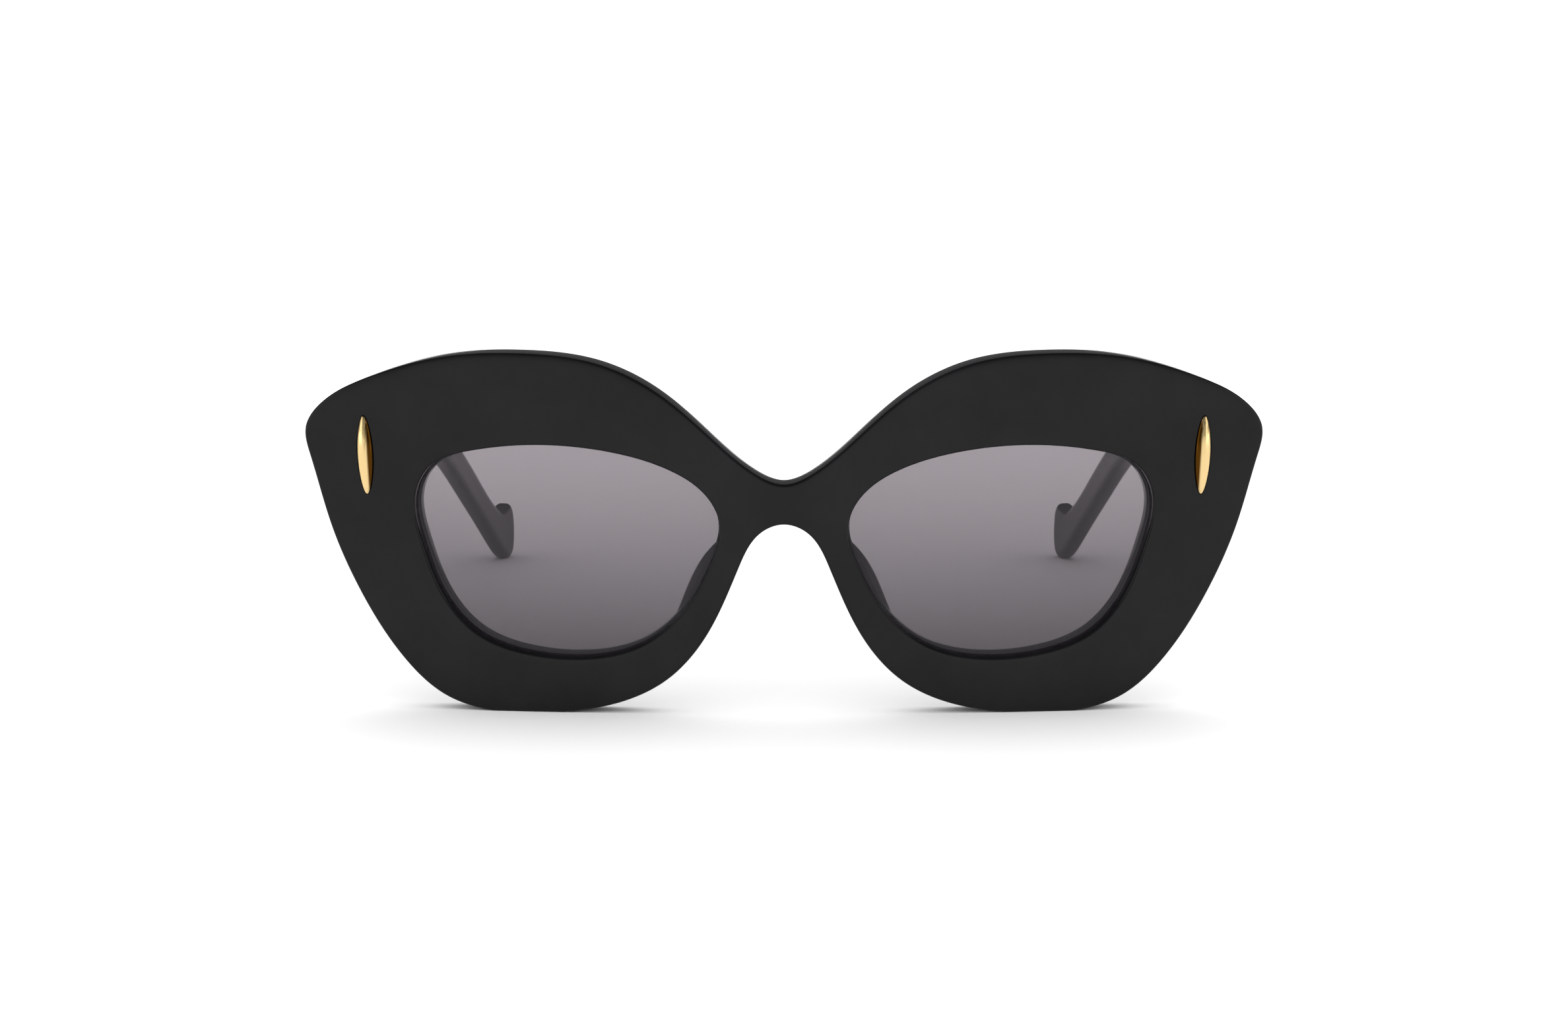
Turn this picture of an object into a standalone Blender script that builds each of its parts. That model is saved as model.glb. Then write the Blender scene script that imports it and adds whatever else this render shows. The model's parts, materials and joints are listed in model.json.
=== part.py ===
"""Cat eye sunglasses: acetate front and temples, tinted lenses, five-knuckle hinges.

Sizes are in millimetres and are turned into metres where each mesh is made.
Everything is modelled in the front's own frame, which one empty holds: x to the wearer's left,
y back along the temples from the bridge's front face, z up from the surface that the glasses
stand on. Paired pieces are modelled at +x and mirrored to -x.
"""

import math

import bmesh
import bpy
import numpy as np
from mathutils import Matrix, Vector

MM = 0.001
QUARTER = math.pi / 2

# Front
BRIDGE_Y = -73.0  # puts the origin halfway between the bridge and the temple tips
FRONT_THICKNESS = 5.5
FRONT_BEND_RADIUS = 380.0
FRONT_EDGE_ROUND = 0.4
FRONT_EDGE_STEPS = 2
FRONT_STATIONS = 124  # round the whole outline
FRONT_ACROSS = 2  # faces from the opening to the outline
OUTLINE_HALF = (  # x, z from the top of the bridge, over the cat eye corner, to the nose arch
    (0, 36.3), (4.5, 38.0), (11, 43.3), (20, 50.8), (29, 55.0), (41, 56.5), (54, 55.6),
    (65, 52.3), (72, 48.5), (74.9, 44.2), (74.2, 39.8), (71, 28.8), (66.3, 18.1), (59.5, 7.8),
    (53, 2.2), (45.5, 0.0), (36, -0.1), (27, 1.3), (18.5, 5.2), (12.6, 11.6), (7, 23.3),
    (3.7, 28.6), (0, 30.0),
)
OPENING = (  # x, z of the lens opening at the front face
    (10.0, 29.8), (12.0, 34.3), (17.5, 38.3), (27, 41.2), (38.5, 42.2), (49, 41.1),
    (55.2, 38.6), (57.6, 34.0), (56.6, 26.8), (53.2, 18.2), (48, 12.4), (40, 9.4),
    (31, 8.8), (22.5, 10.8), (15.5, 16.6), (11.3, 24.2),
)
OPENING_CENTRE = (34.0, 27.0)
OPENING_STATIONS = 1500  # of which the nearest to each section is used
REAR_LIP = 0.3  # how far the opening is tighter behind the lens

# Lens
LENS_DEPTH = 2.4  # from the front face to the middle of the lens
LENS_THICKNESS = 2.0
LENS_BEVEL = 0.8
LENS_GAP = 0.1
LENS_SLICES = np.arange(12.0, 58.0, 4.0)  # x, where the lens may bend

# Hinge
HINGE_X = 64.3
HINGE_Y = 13.0
HINGE_Z = 40.3
KNUCKLES = 5  # the front holds the odd ones, the temple those between
KNUCKLE_HEIGHT = 1.1
KNUCKLE_GAP = 0.06
KNUCKLE_RADIUS = 1.45
FRONT_KNUCKLE_ARC = (-50, 190)  # degrees, from the side of the temple round the rear
FRONT_WEB = ((-1.43, -2.5), (0.93, -2.5))  # x, y from the axis to where the webs meet the leaf
TEMPLE_KNUCKLE_ARC = (90, 374)
TEMPLE_WEB = ((2.2, 0.35), (2.2, KNUCKLE_RADIUS))
HINGE_BORE = 0.72
HINGE_SCREW_RADIUS = 0.66
HINGE_HEAD_RADIUS = 1.15
HINGE_HEAD_HEIGHT = 0.7
HEAD_CHAMFER = 0.2
LEAF_THICKNESS = 1.0
LEAF_HEIGHT = KNUCKLES * KNUCKLE_HEIGHT + (KNUCKLES - 1) * KNUCKLE_GAP
LEAF_GAP = 0.1
FRONT_LEAF_LENGTH = 7.4
FRONT_LEAF_X = 62.6  # where the middle of the leaf lies along the bent front
TEMPLE_LEAF_LENGTH = 10.5
TEMPLE_LEAF_START = HINGE_Y + 0.2
TEMPLE_SEAT_MOUTH = 2.0  # how far the seat runs on, past the butt joint
LEAF_SCREW_RADIUS = 0.45
LEAF_SCREW_LENGTH = 2.9
LEAF_SCREW_TIP = (0.15, 0.2)  # radius and length of its point
LEAF_HEAD_RADIUS = 0.85
LEAF_HEAD_HEIGHT = 0.4
LEAF_SCREW_SPREAD = 1.8  # each screw's distance above or below the hinge's middle
FRONT_SCREWS_ALONG = -2.2  # from the middle of the leaf, towards the bridge
TEMPLE_SCREWS_ALONG = -0.8  # from the middle of the leaf, towards the hinge

# Lug behind the front's corner, which the temple butts against
LUG_X = 68.65
LUG_WIDTH = 5.0
LUG_HEIGHT = 12.6
LUG_ROOT = 1.6  # how deep it runs into the front
LUG_CORNER = 1.0
BUTT_GAP = 0.1

# Temple
TEMPLE_SIDE = (  # y, z of the outline; its front end is cut off at the butt joint
    (-8, 48.7), (6, 47.4), (18, 46.2), (36, 44.4), (60, 41.5), (82, 38.2), (96, 34.9),
    (107, 30.2), (116, 25.0), (125, 19.1), (132.5, 13.7), (137.4, 10.7), (139.5, 10.0),
    (141.4, 10.25), (143.3, 10.5), (145.0, 9.5), (145.8, 7.2), (146.0, 5.0), (145.8, 2.6),
    (144.9, 0.6), (143.3, -0.1), (141.4, 0.3), (138.8, 1.9), (135.4, 4.5), (130, 8.6),
    (121, 14.8), (112, 20.5), (103, 24.9), (92, 27.9), (75, 30.2), (45, 32.4), (20, 33.8),
    (6, 34.5), (-8, 35.2), (-11, 42),
)
TEMPLE_X = 68.2  # middle of the temple's thickness at the hinge
TEMPLE_THICKNESS = 4.4
TEMPLE_TIP_THICKNESS = 2.9
TEMPLE_END_Y = 146.0
TEMPLE_SWEEP = 15.2  # how far the tip lies inward of the hinge end
TEMPLE_SWEEP_POWER = 2.7
TEMPLE_EDGE_ROUND = 1.4
TEMPLE_STATIONS = 84
TEMPLE_SLICES = np.arange(36.0, 142.0, 6.0)  # y, where the temple may bend
CORE_RADIUS = 0.6
CORE_GAP = 0.15
CORE_START = 14.0  # y; the channel for it is open at the butt joint
CORE_END = 137.0
CORE_STATIONS = 24
CHANNEL_MOUTH = 4.0  # how far the channel runs out ahead of the core
OUTLINE_STATIONS = 400

# Plaque on the front
PLAQUE_X = 65.35
PLAQUE_Z = 40.2
PLAQUE_WIDTH = 2.5
PLAQUE_HEIGHT = 12.4
PLAQUE_DOME = 0.75
PLAQUE_SUNK = 0.5
PLAQUE_LEAN = math.radians(2.3)
PLAQUE_POINTED = 0.12  # how much slimmer than an ellipse its ends are
PLAQUE_GAP = 0.1
PIN_RADIUS = 0.4
PIN_LENGTH = 1.8
PIN_SPREAD = 3.2
PIN_ROOT = 0.3  # how deep a pin runs into its plaque

# Nose pad, half an ellipsoid that leans along the rim and flares as it runs back
PAD_CENTRE = (11.5, 5.4, 19.6)
PAD_RADII = (2.5, 6.6, 8.8)
PAD_LEAN = math.radians(-25.0)
PAD_FLARE = 0.45  # sideways run for each millimetre back
PAD_GAP = 0.12

# Colours, as linear values
ACETATE = (0.021, 0.020, 0.022)
LENS_TINT = (0.090, 0.080, 0.095)
GOLD = (0.80, 0.52, 0.16)
HINGE_METAL = (0.60, 0.55, 0.45)
STEEL = (0.55, 0.55, 0.56)


# ---------------------------------------------------------------- outlines

def smooth_loop(points, turns_weight=4.0, count=64, dense=40):
    """Points along a closed cubic spline through points, closer together where it turns."""
    knots = np.array(points, float)
    number = len(knots)
    after = np.roll(knots, -1, axis=0)
    spans = np.linalg.norm(after - knots, axis=1)
    slopes = (after - knots) / spans[:, None]
    system = np.zeros((number, number))
    for i in range(number):
        system[i, i - 1] += spans[i - 1]
        system[i, i] += 2 * (spans[i - 1] + spans[i])
        system[i, (i + 1) % number] += spans[i]
    bends = np.linalg.solve(system, 6 * (slopes - np.roll(slopes, 1, axis=0)))
    next_bends = np.roll(bends, -1, axis=0)
    curve = []
    for i in range(number):
        span = spans[i]
        for t in np.arange(dense) / dense:
            rest = 1 - t
            bend = (rest**3 - rest) * bends[i] + (t**3 - t) * next_bends[i]
            curve.append(rest * knots[i] + t * after[i] + span**2 / 6 * bend)
    return spread(np.array(curve), count, turns_weight)


def spread(curve, count, turns_weight):
    """Count points of a dense closed curve, evenly spaced in length plus weighted turning."""
    steps = np.roll(curve, -1, axis=0) - curve
    heading = np.unwrap(np.arctan2(steps[:, 1], steps[:, 0]))
    full_turn = math.copysign(2 * math.pi, heading[-1] - heading[0])
    turning = np.abs(np.diff(np.append(heading, heading[0] + full_turn)))
    reach = np.linalg.norm(steps, axis=1) + turns_weight * turning
    measure = np.concatenate([[0], np.cumsum(reach)])
    wanted = np.arange(count) / count * measure[-1]
    closed = np.vstack([curve, curve[:1]])
    return np.column_stack([np.interp(wanted, measure, closed[:, k]) for k in (0, 1)])


def outward_normals(loop):
    """Unit normals of a closed loop, pointing away from its middle's side."""
    along = np.roll(loop, -1, axis=0) - np.roll(loop, 1, axis=0)
    normals = np.column_stack([along[:, 1], -along[:, 0]])
    normals /= np.linalg.norm(normals, axis=1)[:, None]
    area = np.sum(loop[:, 0] * np.roll(loop[:, 1], -1) - np.roll(loop[:, 0], -1) * loop[:, 1])
    return normals if area > 0 else -normals


def bent(x, z, depth):
    """A point of the flat front, at depth behind its face, after the front is bent."""
    angle = math.asin(x / FRONT_BEND_RADIUS)
    return (
        x - depth * math.sin(angle),
        FRONT_BEND_RADIUS * (1 - math.cos(angle)) + depth * math.cos(angle),
        z,
    )


def bent_turn(x):
    """The rotation of the bent front at x."""
    return Matrix.Rotation(math.asin(x / FRONT_BEND_RADIUS), 4, "Z")


def temple_share(y):
    """How far y lies along the temple, from 0 at the hinge to 1 at the tip."""
    return min(1.0, max(0.0, (y - HINGE_Y) / (TEMPLE_END_Y - HINGE_Y)))


def temple_middle(y):
    """x of the middle of the temple's thickness at y."""
    return TEMPLE_X - TEMPLE_SWEEP * temple_share(y) ** TEMPLE_SWEEP_POWER


def temple_thickness(y):
    return TEMPLE_THICKNESS + (TEMPLE_TIP_THICKNESS - TEMPLE_THICKNESS) * temple_share(y)


# ---------------------------------------------------------------- scene helpers

def clear_scene():
    for old in list(bpy.data.objects):
        bpy.data.objects.remove(old, do_unlink=True)


def new_collection(name):
    collection = bpy.data.collections.new(name)
    bpy.context.scene.collection.children.link(collection)
    return collection


def new_empty(name, collection, place, parent=None):
    empty = bpy.data.objects.new(name, None)
    empty.location = Vector(place) * MM
    empty.parent = parent
    collection.objects.link(empty)
    return empty


def make_material(name, colour, roughness, metallic=0.0, alpha=1.0):
    material = bpy.data.materials.new(name)
    material.use_nodes = True
    shader = material.node_tree.nodes["Principled BSDF"]
    shader.inputs["Base Color"].default_value = (*colour, 1.0)
    shader.inputs["Roughness"].default_value = roughness
    shader.inputs["Metallic"].default_value = metallic
    shader.inputs["Alpha"].default_value = alpha
    return material


class Workshop:
    """The collections and the empty that every piece and cutter is made in."""

    def __init__(self, name):
        self.parts = new_collection(name)
        self.cutters = new_collection("cutters")
        self.frame = new_empty("front_frame_of_reference", self.parts, (0, BRIDGE_Y, 0))

    def add(self, bm, name, material):
        """A piece made from a bmesh in millimetres."""
        made = self.place(bm, name, self.parts)
        made.data.materials.append(material)
        made.data.shade_smooth()
        made.data.set_sharp_from_angle(angle=math.radians(35))
        return made

    def mould(self, bm, name):
        """A hidden solid that a Boolean cuts or joins with."""
        made = self.place(bm, name, self.cutters)
        self.hide(made)
        return made

    def place(self, bm, name, collection):
        bmesh.ops.scale(bm, vec=(MM, MM, MM), verts=bm.verts)
        mesh = bpy.data.meshes.new(name)
        bm.to_mesh(mesh)
        bm.free()
        made = bpy.data.objects.new(name, mesh)
        made.parent = self.frame
        collection.objects.link(made)
        return made

    def hide(self, mould):
        mould.hide_render = True
        mould.display_type = "WIRE"

    def mirrored(self, piece, name):
        """The same piece on the other side of the glasses."""
        other = bpy.data.objects.new(name, piece.data.copy())
        other.parent = self.frame
        piece.users_collection[0].objects.link(other)
        bm = bmesh.new()
        bm.from_mesh(other.data)
        bmesh.ops.scale(bm, vec=(-1, 1, 1), verts=bm.verts)
        bmesh.ops.reverse_faces(bm, faces=bm.faces)
        bm.to_mesh(other.data)
        bm.free()
        if piece.hide_render:
            self.hide(other)
        return other

    def pair(self, piece, kind):
        """Names a piece for the left side and makes the right one; both are returned."""
        piece.name = f"left_{kind}"
        return piece, self.mirrored(piece, f"right_{kind}")

    def cut_both(self, target, bm, kind):
        """Cuts a solid and its mirror image from a piece."""
        for mould in self.pair(self.mould(bm, kind), kind):
            add_boolean(target, mould)

    def turned(self, kind, profile, places, material, sides=16):
        """Solids of revolution about each place's z, from (radius, height) points, top first."""
        bm = bmesh.new()
        points = [bm.verts.new((radius, 0, height)) for radius, height in profile]
        for above, below in zip(points, points[1:]):
            bm.edges.new((above, below))
        first = self.place(bm, kind, self.parts)
        first.data.materials.append(material)
        mesh = first.data
        bpy.data.objects.remove(first)
        made = []
        flip = Matrix.Diagonal((-1, 1, 1, 1))
        for name, place in places:
            for side, at_place in (("left", place), ("right", flip @ place @ flip)):
                piece = bpy.data.objects.new(f"{side}_{name}", mesh)
                piece.parent = self.frame
                piece.matrix_basis = at_place.to_3x3().to_4x4()
                piece.location = at_place.translation * MM
                self.parts.objects.link(piece)
                turn = piece.modifiers.new("turn", "SCREW")
                turn.steps = turn.render_steps = sides
                turn.use_merge_vertices = True
                turn.merge_threshold = 1e-6
                made.append(piece)
        return made


def hang_on(arm, pieces):
    """Parents pieces to the empty on a hinge's axis, without moving them."""
    for piece in pieces:
        piece.parent = arm
        piece.matrix_parent_inverse = arm.matrix_basis.inverted()


def add_boolean(target, other, operation="DIFFERENCE"):
    modifier = target.modifiers.new(other.name, "BOOLEAN")
    modifier.operation = operation
    modifier.object = other
    modifier.solver = "EXACT"


def apply_modifiers(piece):
    """Bakes a piece's modifiers into its mesh, so that a mirrored copy can be taken."""
    graph = bpy.context.evaluated_depsgraph_get()
    mesh = bpy.data.meshes.new_from_object(piece.evaluated_get(graph))
    piece.modifiers.clear()
    piece.data = mesh


# ---------------------------------------------------------------- solids in millimetres

def at(x, y, z):
    return Matrix.Translation((x, y, z))


def box(size, place):
    bm = bmesh.new()
    bmesh.ops.create_cube(bm, size=1.0, matrix=place @ Matrix.Diagonal((*size, 1.0)))
    return bm


def add_cylinder(bm, radius, length, place, sides=20):
    """A cylinder along place's z, centred on it."""
    bmesh.ops.create_cone(bm, cap_ends=True, segments=sides, radius1=radius, radius2=radius,
                          depth=length, matrix=place)
    return bm


def loft(rings):
    """A closed solid through rings of equally many points, capped at both ends."""
    bm = bmesh.new()
    rows = [[bm.verts.new(point) for point in ring] for ring in rings]
    for near, far in zip(rows, rows[1:]):
        for i in range(len(near)):
            bm.faces.new((near[i - 1], near[i], far[i], far[i - 1]))
    bm.faces.new(rows[0])
    bm.faces.new(rows[-1])
    bmesh.ops.recalc_face_normals(bm, faces=bm.faces)
    return bm


def slab_from_outline(loop, half_thickness, edge_round, edge_steps):
    """A slab in its own x, y plane from a filled 2D curve, with rounded edges."""
    curve = bpy.data.curves.new("outline", "CURVE")
    curve.dimensions = "2D"
    curve.fill_mode = "BOTH"
    curve.extrude = half_thickness - edge_round
    curve.bevel_depth = edge_round
    curve.bevel_resolution = edge_steps
    curve.offset = -edge_round
    spline = curve.splines.new("POLY")
    spline.points.add(len(loop) - 1)
    for point, (x, y) in zip(spline.points, loop):
        point.co = (x, y, 0, 1)
    spline.use_cyclic_u = True
    return mesh_of_curve(curve)


def tube(points, radius):
    """A tube with filled caps along a line of points."""
    curve = bpy.data.curves.new("tube", "CURVE")
    curve.dimensions = "3D"
    curve.bevel_depth = radius
    curve.bevel_resolution = 2
    curve.use_fill_caps = True
    spline = curve.splines.new("POLY")
    spline.points.add(len(points) - 1)
    for knot, point in zip(spline.points, points):
        knot.co = (*point, 1)
    return mesh_of_curve(curve)


def mesh_of_curve(curve):
    """The closed bmesh of a curve; the curve itself is removed."""
    holder = bpy.data.objects.new("curve", curve)
    bpy.context.scene.collection.objects.link(holder)
    graph = bpy.context.evaluated_depsgraph_get()
    mesh = bpy.data.meshes.new_from_object(holder.evaluated_get(graph))
    bm = bmesh.new()
    bm.from_mesh(mesh)
    bmesh.ops.remove_doubles(bm, verts=bm.verts, dist=0.001)
    bmesh.ops.recalc_face_normals(bm, faces=bm.faces)
    bpy.data.objects.remove(holder)
    bpy.data.curves.remove(curve)
    bpy.data.meshes.remove(mesh)
    return bm


def slice_along(bm, axis, places):
    """Cuts every face at these places along an axis, so that the mesh can bend there."""
    normal = Vector((0, 0, 0))
    normal[axis] = 1
    for place in places:
        bmesh.ops.bisect_plane(bm, geom=bm.verts[:] + bm.edges[:] + bm.faces[:], dist=0.001,
                               plane_co=normal * place, plane_no=normal)


def screw_hole(place, length):
    """A hole for a leaf screw, along place's -z."""
    reach = 1.0
    middle = place @ at(0, 0, (reach - length) / 2)
    return add_cylinder(bmesh.new(), LEAF_SCREW_RADIUS + LEAF_GAP, length + reach, middle, 16)


# ---------------------------------------------------------------- front

def opening_stations(angles):
    """Points and normals of the lens opening in these directions from its centre."""
    loop = smooth_loop(OPENING, count=OPENING_STATIONS, turns_weight=0.0)
    normals = outward_normals(loop)
    centre = np.array(OPENING_CENTRE)
    around = np.arctan2(loop[:, 1] - centre[1], loop[:, 0] - centre[0])
    order = np.argsort(around)
    columns = np.hstack([loop, normals])[order]
    found = [np.interp(angles, around[order], columns[:, k], period=2 * math.pi)
             for k in range(4)]
    return np.column_stack(found[:2]), np.column_stack(found[2:])


def half_outline():
    """Points and outward normals of the front's outline at x >= 0, top of the bridge first."""
    mirrored = [(-x, z) for x, z in reversed(OUTLINE_HALF[1:-1])]
    loop = smooth_loop([*OUTLINE_HALF, *mirrored], count=FRONT_STATIONS, turns_weight=6.0)
    normals = outward_normals(loop)
    under_bridge = loop[:, 1] < (OUTLINE_HALF[0][1] + OUTLINE_HALF[-1][1]) / 2
    low = int(np.argmin(np.where(under_bridge, np.abs(loop[:, 0]), np.inf)))
    half, facing = loop[: low + 1], normals[: low + 1]
    half[[0, -1], 0] = 0.0
    facing[0], facing[-1] = (0, 1), (0, -1)
    half[:, 1] = np.maximum(half[:, 1], 0.0)
    return half, facing


def edge_arc(start, end, lip=0.0):
    """Offsets into the material and depths of a rounded edge, from the face to the wall."""
    turns = np.linspace(0, QUARTER, FRONT_EDGE_STEPS + 1)
    return [(FRONT_EDGE_ROUND * (1 - math.sin(turn)) - lip,
             start + (end - start) * (1 - math.cos(turn))) for turn in turns]


def front_edge():
    """The face's edge, inside the rounded outline, closed by points down the middle plane."""
    outline, facing = half_outline()
    rim = outline - facing * FRONT_EDGE_ROUND
    down = np.linspace(rim[-1, 1], rim[0, 1], 4)[1:-1]
    return np.vstack([rim, [(0, z) for z in down]])


def station_angles():
    """Directions from the opening's centre in which the front and the lens have a section."""
    away = front_edge() - np.array(OPENING_CENTRE)
    return np.arctan2(away[:, 1], away[:, 0])


def front_rows():
    """The front's section as rows of (part of the section, offset or share, depth)."""
    deep, edge = FRONT_THICKNESS, FRONT_EDGE_ROUND
    groove = LENS_THICKNESS / 2 + LENS_GAP
    apex = LENS_BEVEL + LENS_GAP
    inner = edge_arc(deep, deep - edge, REAR_LIP)
    inner += [(-REAR_LIP, LENS_DEPTH + groove), (0, LENS_DEPTH + groove),
              (apex, LENS_DEPTH + groove - apex), (apex, LENS_DEPTH - groove + apex),
              (0, LENS_DEPTH - groove)]
    inner += edge_arc(0, edge)[::-1]
    outer = edge_arc(0, edge) + edge_arc(deep, deep - edge)[::-1]
    shares = np.arange(1, FRONT_ACROSS) / FRONT_ACROSS
    rows = [("opening", offset, depth) for offset, depth in inner]
    rows += [("face", share, 0.0) for share in shares]
    rows += [("outline", offset, depth) for offset, depth in outer]
    rows += [("face", 1 - share, deep) for share in shares]
    return rows


def front_half():
    """Lofts the section round the opening, open at x = 0 where the other half joins."""
    outline, facing = half_outline()
    rows = front_rows()
    face_edge = front_edge()
    opening, opening_facing = opening_stations(station_angles())
    bm = bmesh.new()
    grid = []
    for j, edge_point in enumerate(face_edge):
        on_outline = j < len(outline)
        column = []
        for part, offset, depth in rows:
            if part == "opening":
                flat = opening[j] + opening_facing[j] * offset
            elif part == "outline":
                flat = outline[j] - facing[j] * offset if on_outline else edge_point
            else:
                lip = REAR_LIP if depth else 0.0
                start = opening[j] + opening_facing[j] * (FRONT_EDGE_ROUND - lip)
                flat = start + (edge_point - start) * offset
            wall = part == "outline" and not on_outline and 0 < depth < FRONT_THICKNESS
            column.append(None if wall else bm.verts.new(bent(flat[0], flat[1], depth)))
        grid.append(column)
    for column, beside in zip(grid, grid[1:] + grid[:1]):
        for i in range(len(rows)):
            corners = (column[i], column[i - 1], beside[i - 1], beside[i])
            if None not in corners:
                bm.faces.new(corners)
    bmesh.ops.recalc_face_normals(bm, faces=bm.faces)
    return bm


def lug():
    """The block behind a corner of the front, up to the butt joint."""
    inside = bent(LUG_X, 0, FRONT_THICKNESS)[1] - LUG_ROOT
    depth = HINGE_Y - inside
    bm = box((LUG_WIDTH, depth, LUG_HEIGHT), at(LUG_X, inside + depth / 2, HINGE_Z))
    upright = [edge for edge in bm.edges
               if abs(edge.verts[0].co.y - edge.verts[1].co.y) > 0.5 * depth]
    bmesh.ops.bevel(bm, geom=upright, offset=LUG_CORNER, segments=2, affect="EDGES", profile=0.5)
    return bm


def build_front(shop, acetate):
    front = shop.add(front_half(), "front_frame", acetate)
    mirror = front.modifiers.new("other_half", "MIRROR")
    mirror.use_clip = True
    mirror.merge_threshold = 1e-6
    for mould in shop.pair(shop.mould(lug(), "lug"), "lug"):
        add_boolean(front, mould, "UNION")
    shop.cut_both(front, plaque_seat(), "plaque_seat")
    size = (FRONT_LEAF_LENGTH + 2 * LEAF_GAP, 2 * (LEAF_THICKNESS + LEAF_GAP),
            LEAF_HEIGHT + 2 * LEAF_GAP)
    shop.cut_both(front, box(size, front_leaf_frame()), "front_leaf_seat")
    for name, place in front_screw_places():
        shop.cut_both(front, screw_hole(place, LEAF_SCREW_LENGTH + LEAF_GAP), f"{name}_hole")
    return front


# ---------------------------------------------------------------- lenses, plaques, pads

def build_lenses(shop, tint):
    """Each lens has a bevel all round that sits in the groove of the front."""
    angles = station_angles()
    opening, facing = opening_stations(angles)
    half = LENS_THICKNESS / 2
    rows = ((0, -half), (LENS_BEVEL, LENS_BEVEL - half), (LENS_BEVEL, half - LENS_BEVEL),
            (0, half))
    rings = []
    for offset, depth in rows:
        flat = opening + facing * offset
        rings.append([(x, LENS_DEPTH + depth, z) for x, z in flat])
    bm = loft(rings)
    slice_along(bm, 0, LENS_SLICES)
    for vert in bm.verts:
        vert.co = bent(vert.co.x, vert.co.z, vert.co.y)
    return shop.pair(shop.add(bm, "lens", tint), "lens")


def plaque_frame():
    """Axes of a plaque on the bent face: x across it, -y out of the face, z along it."""
    turn = bent_turn(PLAQUE_X) @ Matrix.Rotation(PLAQUE_LEAN, 4, "Y")
    return Matrix.Translation(bent(PLAQUE_X, PLAQUE_Z, 0)) @ turn


def plaque_ring(share, depth, grow=0.0, sides=28):
    """A ring of the plaque's pointed oval, shrunk to a share of its size, at a depth."""
    ring = []
    for turn in np.arange(sides) / sides * 2 * math.pi:
        slim = 1 - PLAQUE_POINTED * math.sin(turn) ** 2
        x = share * (PLAQUE_WIDTH / 2 + grow) * math.cos(turn) * slim
        z = share * (PLAQUE_HEIGHT / 2 + grow) * math.sin(turn)
        ring.append(plaque_frame() @ Vector((x, depth, z)))
    return ring


def plaque_seat():
    return loft([plaque_ring(1, depth, PLAQUE_GAP)
                 for depth in (PLAQUE_SUNK + PLAQUE_GAP, -1.0)])


def plaque_pins(radius, length):
    bm = bmesh.new()
    turn = Matrix.Rotation(QUARTER, 4, "X")
    for sign in (1, -1):
        middle = plaque_frame() @ at(0, PLAQUE_SUNK + (length - PIN_ROOT) / 2, sign * PIN_SPREAD)
        add_cylinder(bm, radius, length + PIN_ROOT, middle @ turn, 12)
    return bm


def build_plaques(shop, front, gold):
    domes = [(math.cos(turn), -PLAQUE_DOME * math.sin(turn))
             for turn in np.linspace(0, QUARTER, 6)[:-1]]
    rings = [plaque_ring(share, depth) for share, depth in [(1, PLAQUE_SUNK), *domes]]
    plaque = shop.add(loft(rings), "plaque", gold)
    add_boolean(plaque, shop.mould(plaque_pins(PIN_RADIUS, PIN_LENGTH), "plaque_pins"), "UNION")
    apply_modifiers(plaque)
    holes = plaque_pins(PIN_RADIUS + PLAQUE_GAP, PIN_LENGTH + PLAQUE_GAP)
    shop.cut_both(front, holes, "plaque_pin_holes")
    return shop.pair(plaque, "plaque")


def build_nose_pads(shop, acetate):
    bm = bmesh.new()
    bmesh.ops.create_uvsphere(bm, u_segments=24, v_segments=14, radius=1.0)
    lean = Matrix.Rotation(PAD_LEAN, 4, "Y")
    for vert in bm.verts:
        x, z, y = vert.co
        point = lean @ Vector((x * PAD_RADII[0], y * PAD_RADII[1], z * PAD_RADII[2]))
        point += Vector(PAD_CENTRE)
        point.x += PAD_FLARE * max(0.0, point.y - PAD_CENTRE[1])
        vert.co = point
    behind = Vector(bent(PAD_CENTRE[0], 0, FRONT_THICKNESS + PAD_GAP))
    away = bent_turn(PAD_CENTRE[0]) @ Vector((0, 1, 0))
    cut = bmesh.ops.bisect_plane(bm, geom=bm.verts[:] + bm.edges[:] + bm.faces[:], dist=0.001,
                                 plane_co=behind, plane_no=away, clear_inner=True)
    rim = [item for item in cut["geom_cut"] if isinstance(item, bmesh.types.BMEdge)]
    bmesh.ops.contextual_create(bm, geom=rim)
    bmesh.ops.recalc_face_normals(bm, faces=bm.faces)
    return shop.pair(shop.add(bm, "nose_pad", acetate), "nose_pad")


# ---------------------------------------------------------------- hinges

def front_leaf_frame():
    """Axes on the front's rear face at the middle of the front leaf: y points rearward."""
    place = Matrix.Translation(bent(FRONT_LEAF_X, HINGE_Z, FRONT_THICKNESS))
    return place @ bent_turn(FRONT_LEAF_X)


def temple_leaf_frame():
    """Axes on the temple's inner face at the middle of the temple leaf: -x points inboard."""
    middle = TEMPLE_LEAF_START + TEMPLE_LEAF_LENGTH / 2
    return at(TEMPLE_X - TEMPLE_THICKNESS / 2, middle, HINGE_Z)


def upper_and_lower(frame, along, turn, kind):
    """Names and places of two leaf screws, each with +z out of the leaf."""
    for name, sign in (("upper", 1), ("lower", -1)):
        yield f"{kind}_leaf_screw_{name}", frame @ along @ at(0, 0, sign * LEAF_SCREW_SPREAD) @ turn


def front_screw_places():
    along = at(FRONT_SCREWS_ALONG, 0, 0)
    return upper_and_lower(front_leaf_frame(), along, Matrix.Rotation(-QUARTER, 4, "X"), "front")


def temple_screw_places():
    along = at(0, TEMPLE_SCREWS_ALONG, 0)
    return upper_and_lower(temple_leaf_frame(), along, Matrix.Rotation(-QUARTER, 4, "Y"), "temple")


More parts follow.
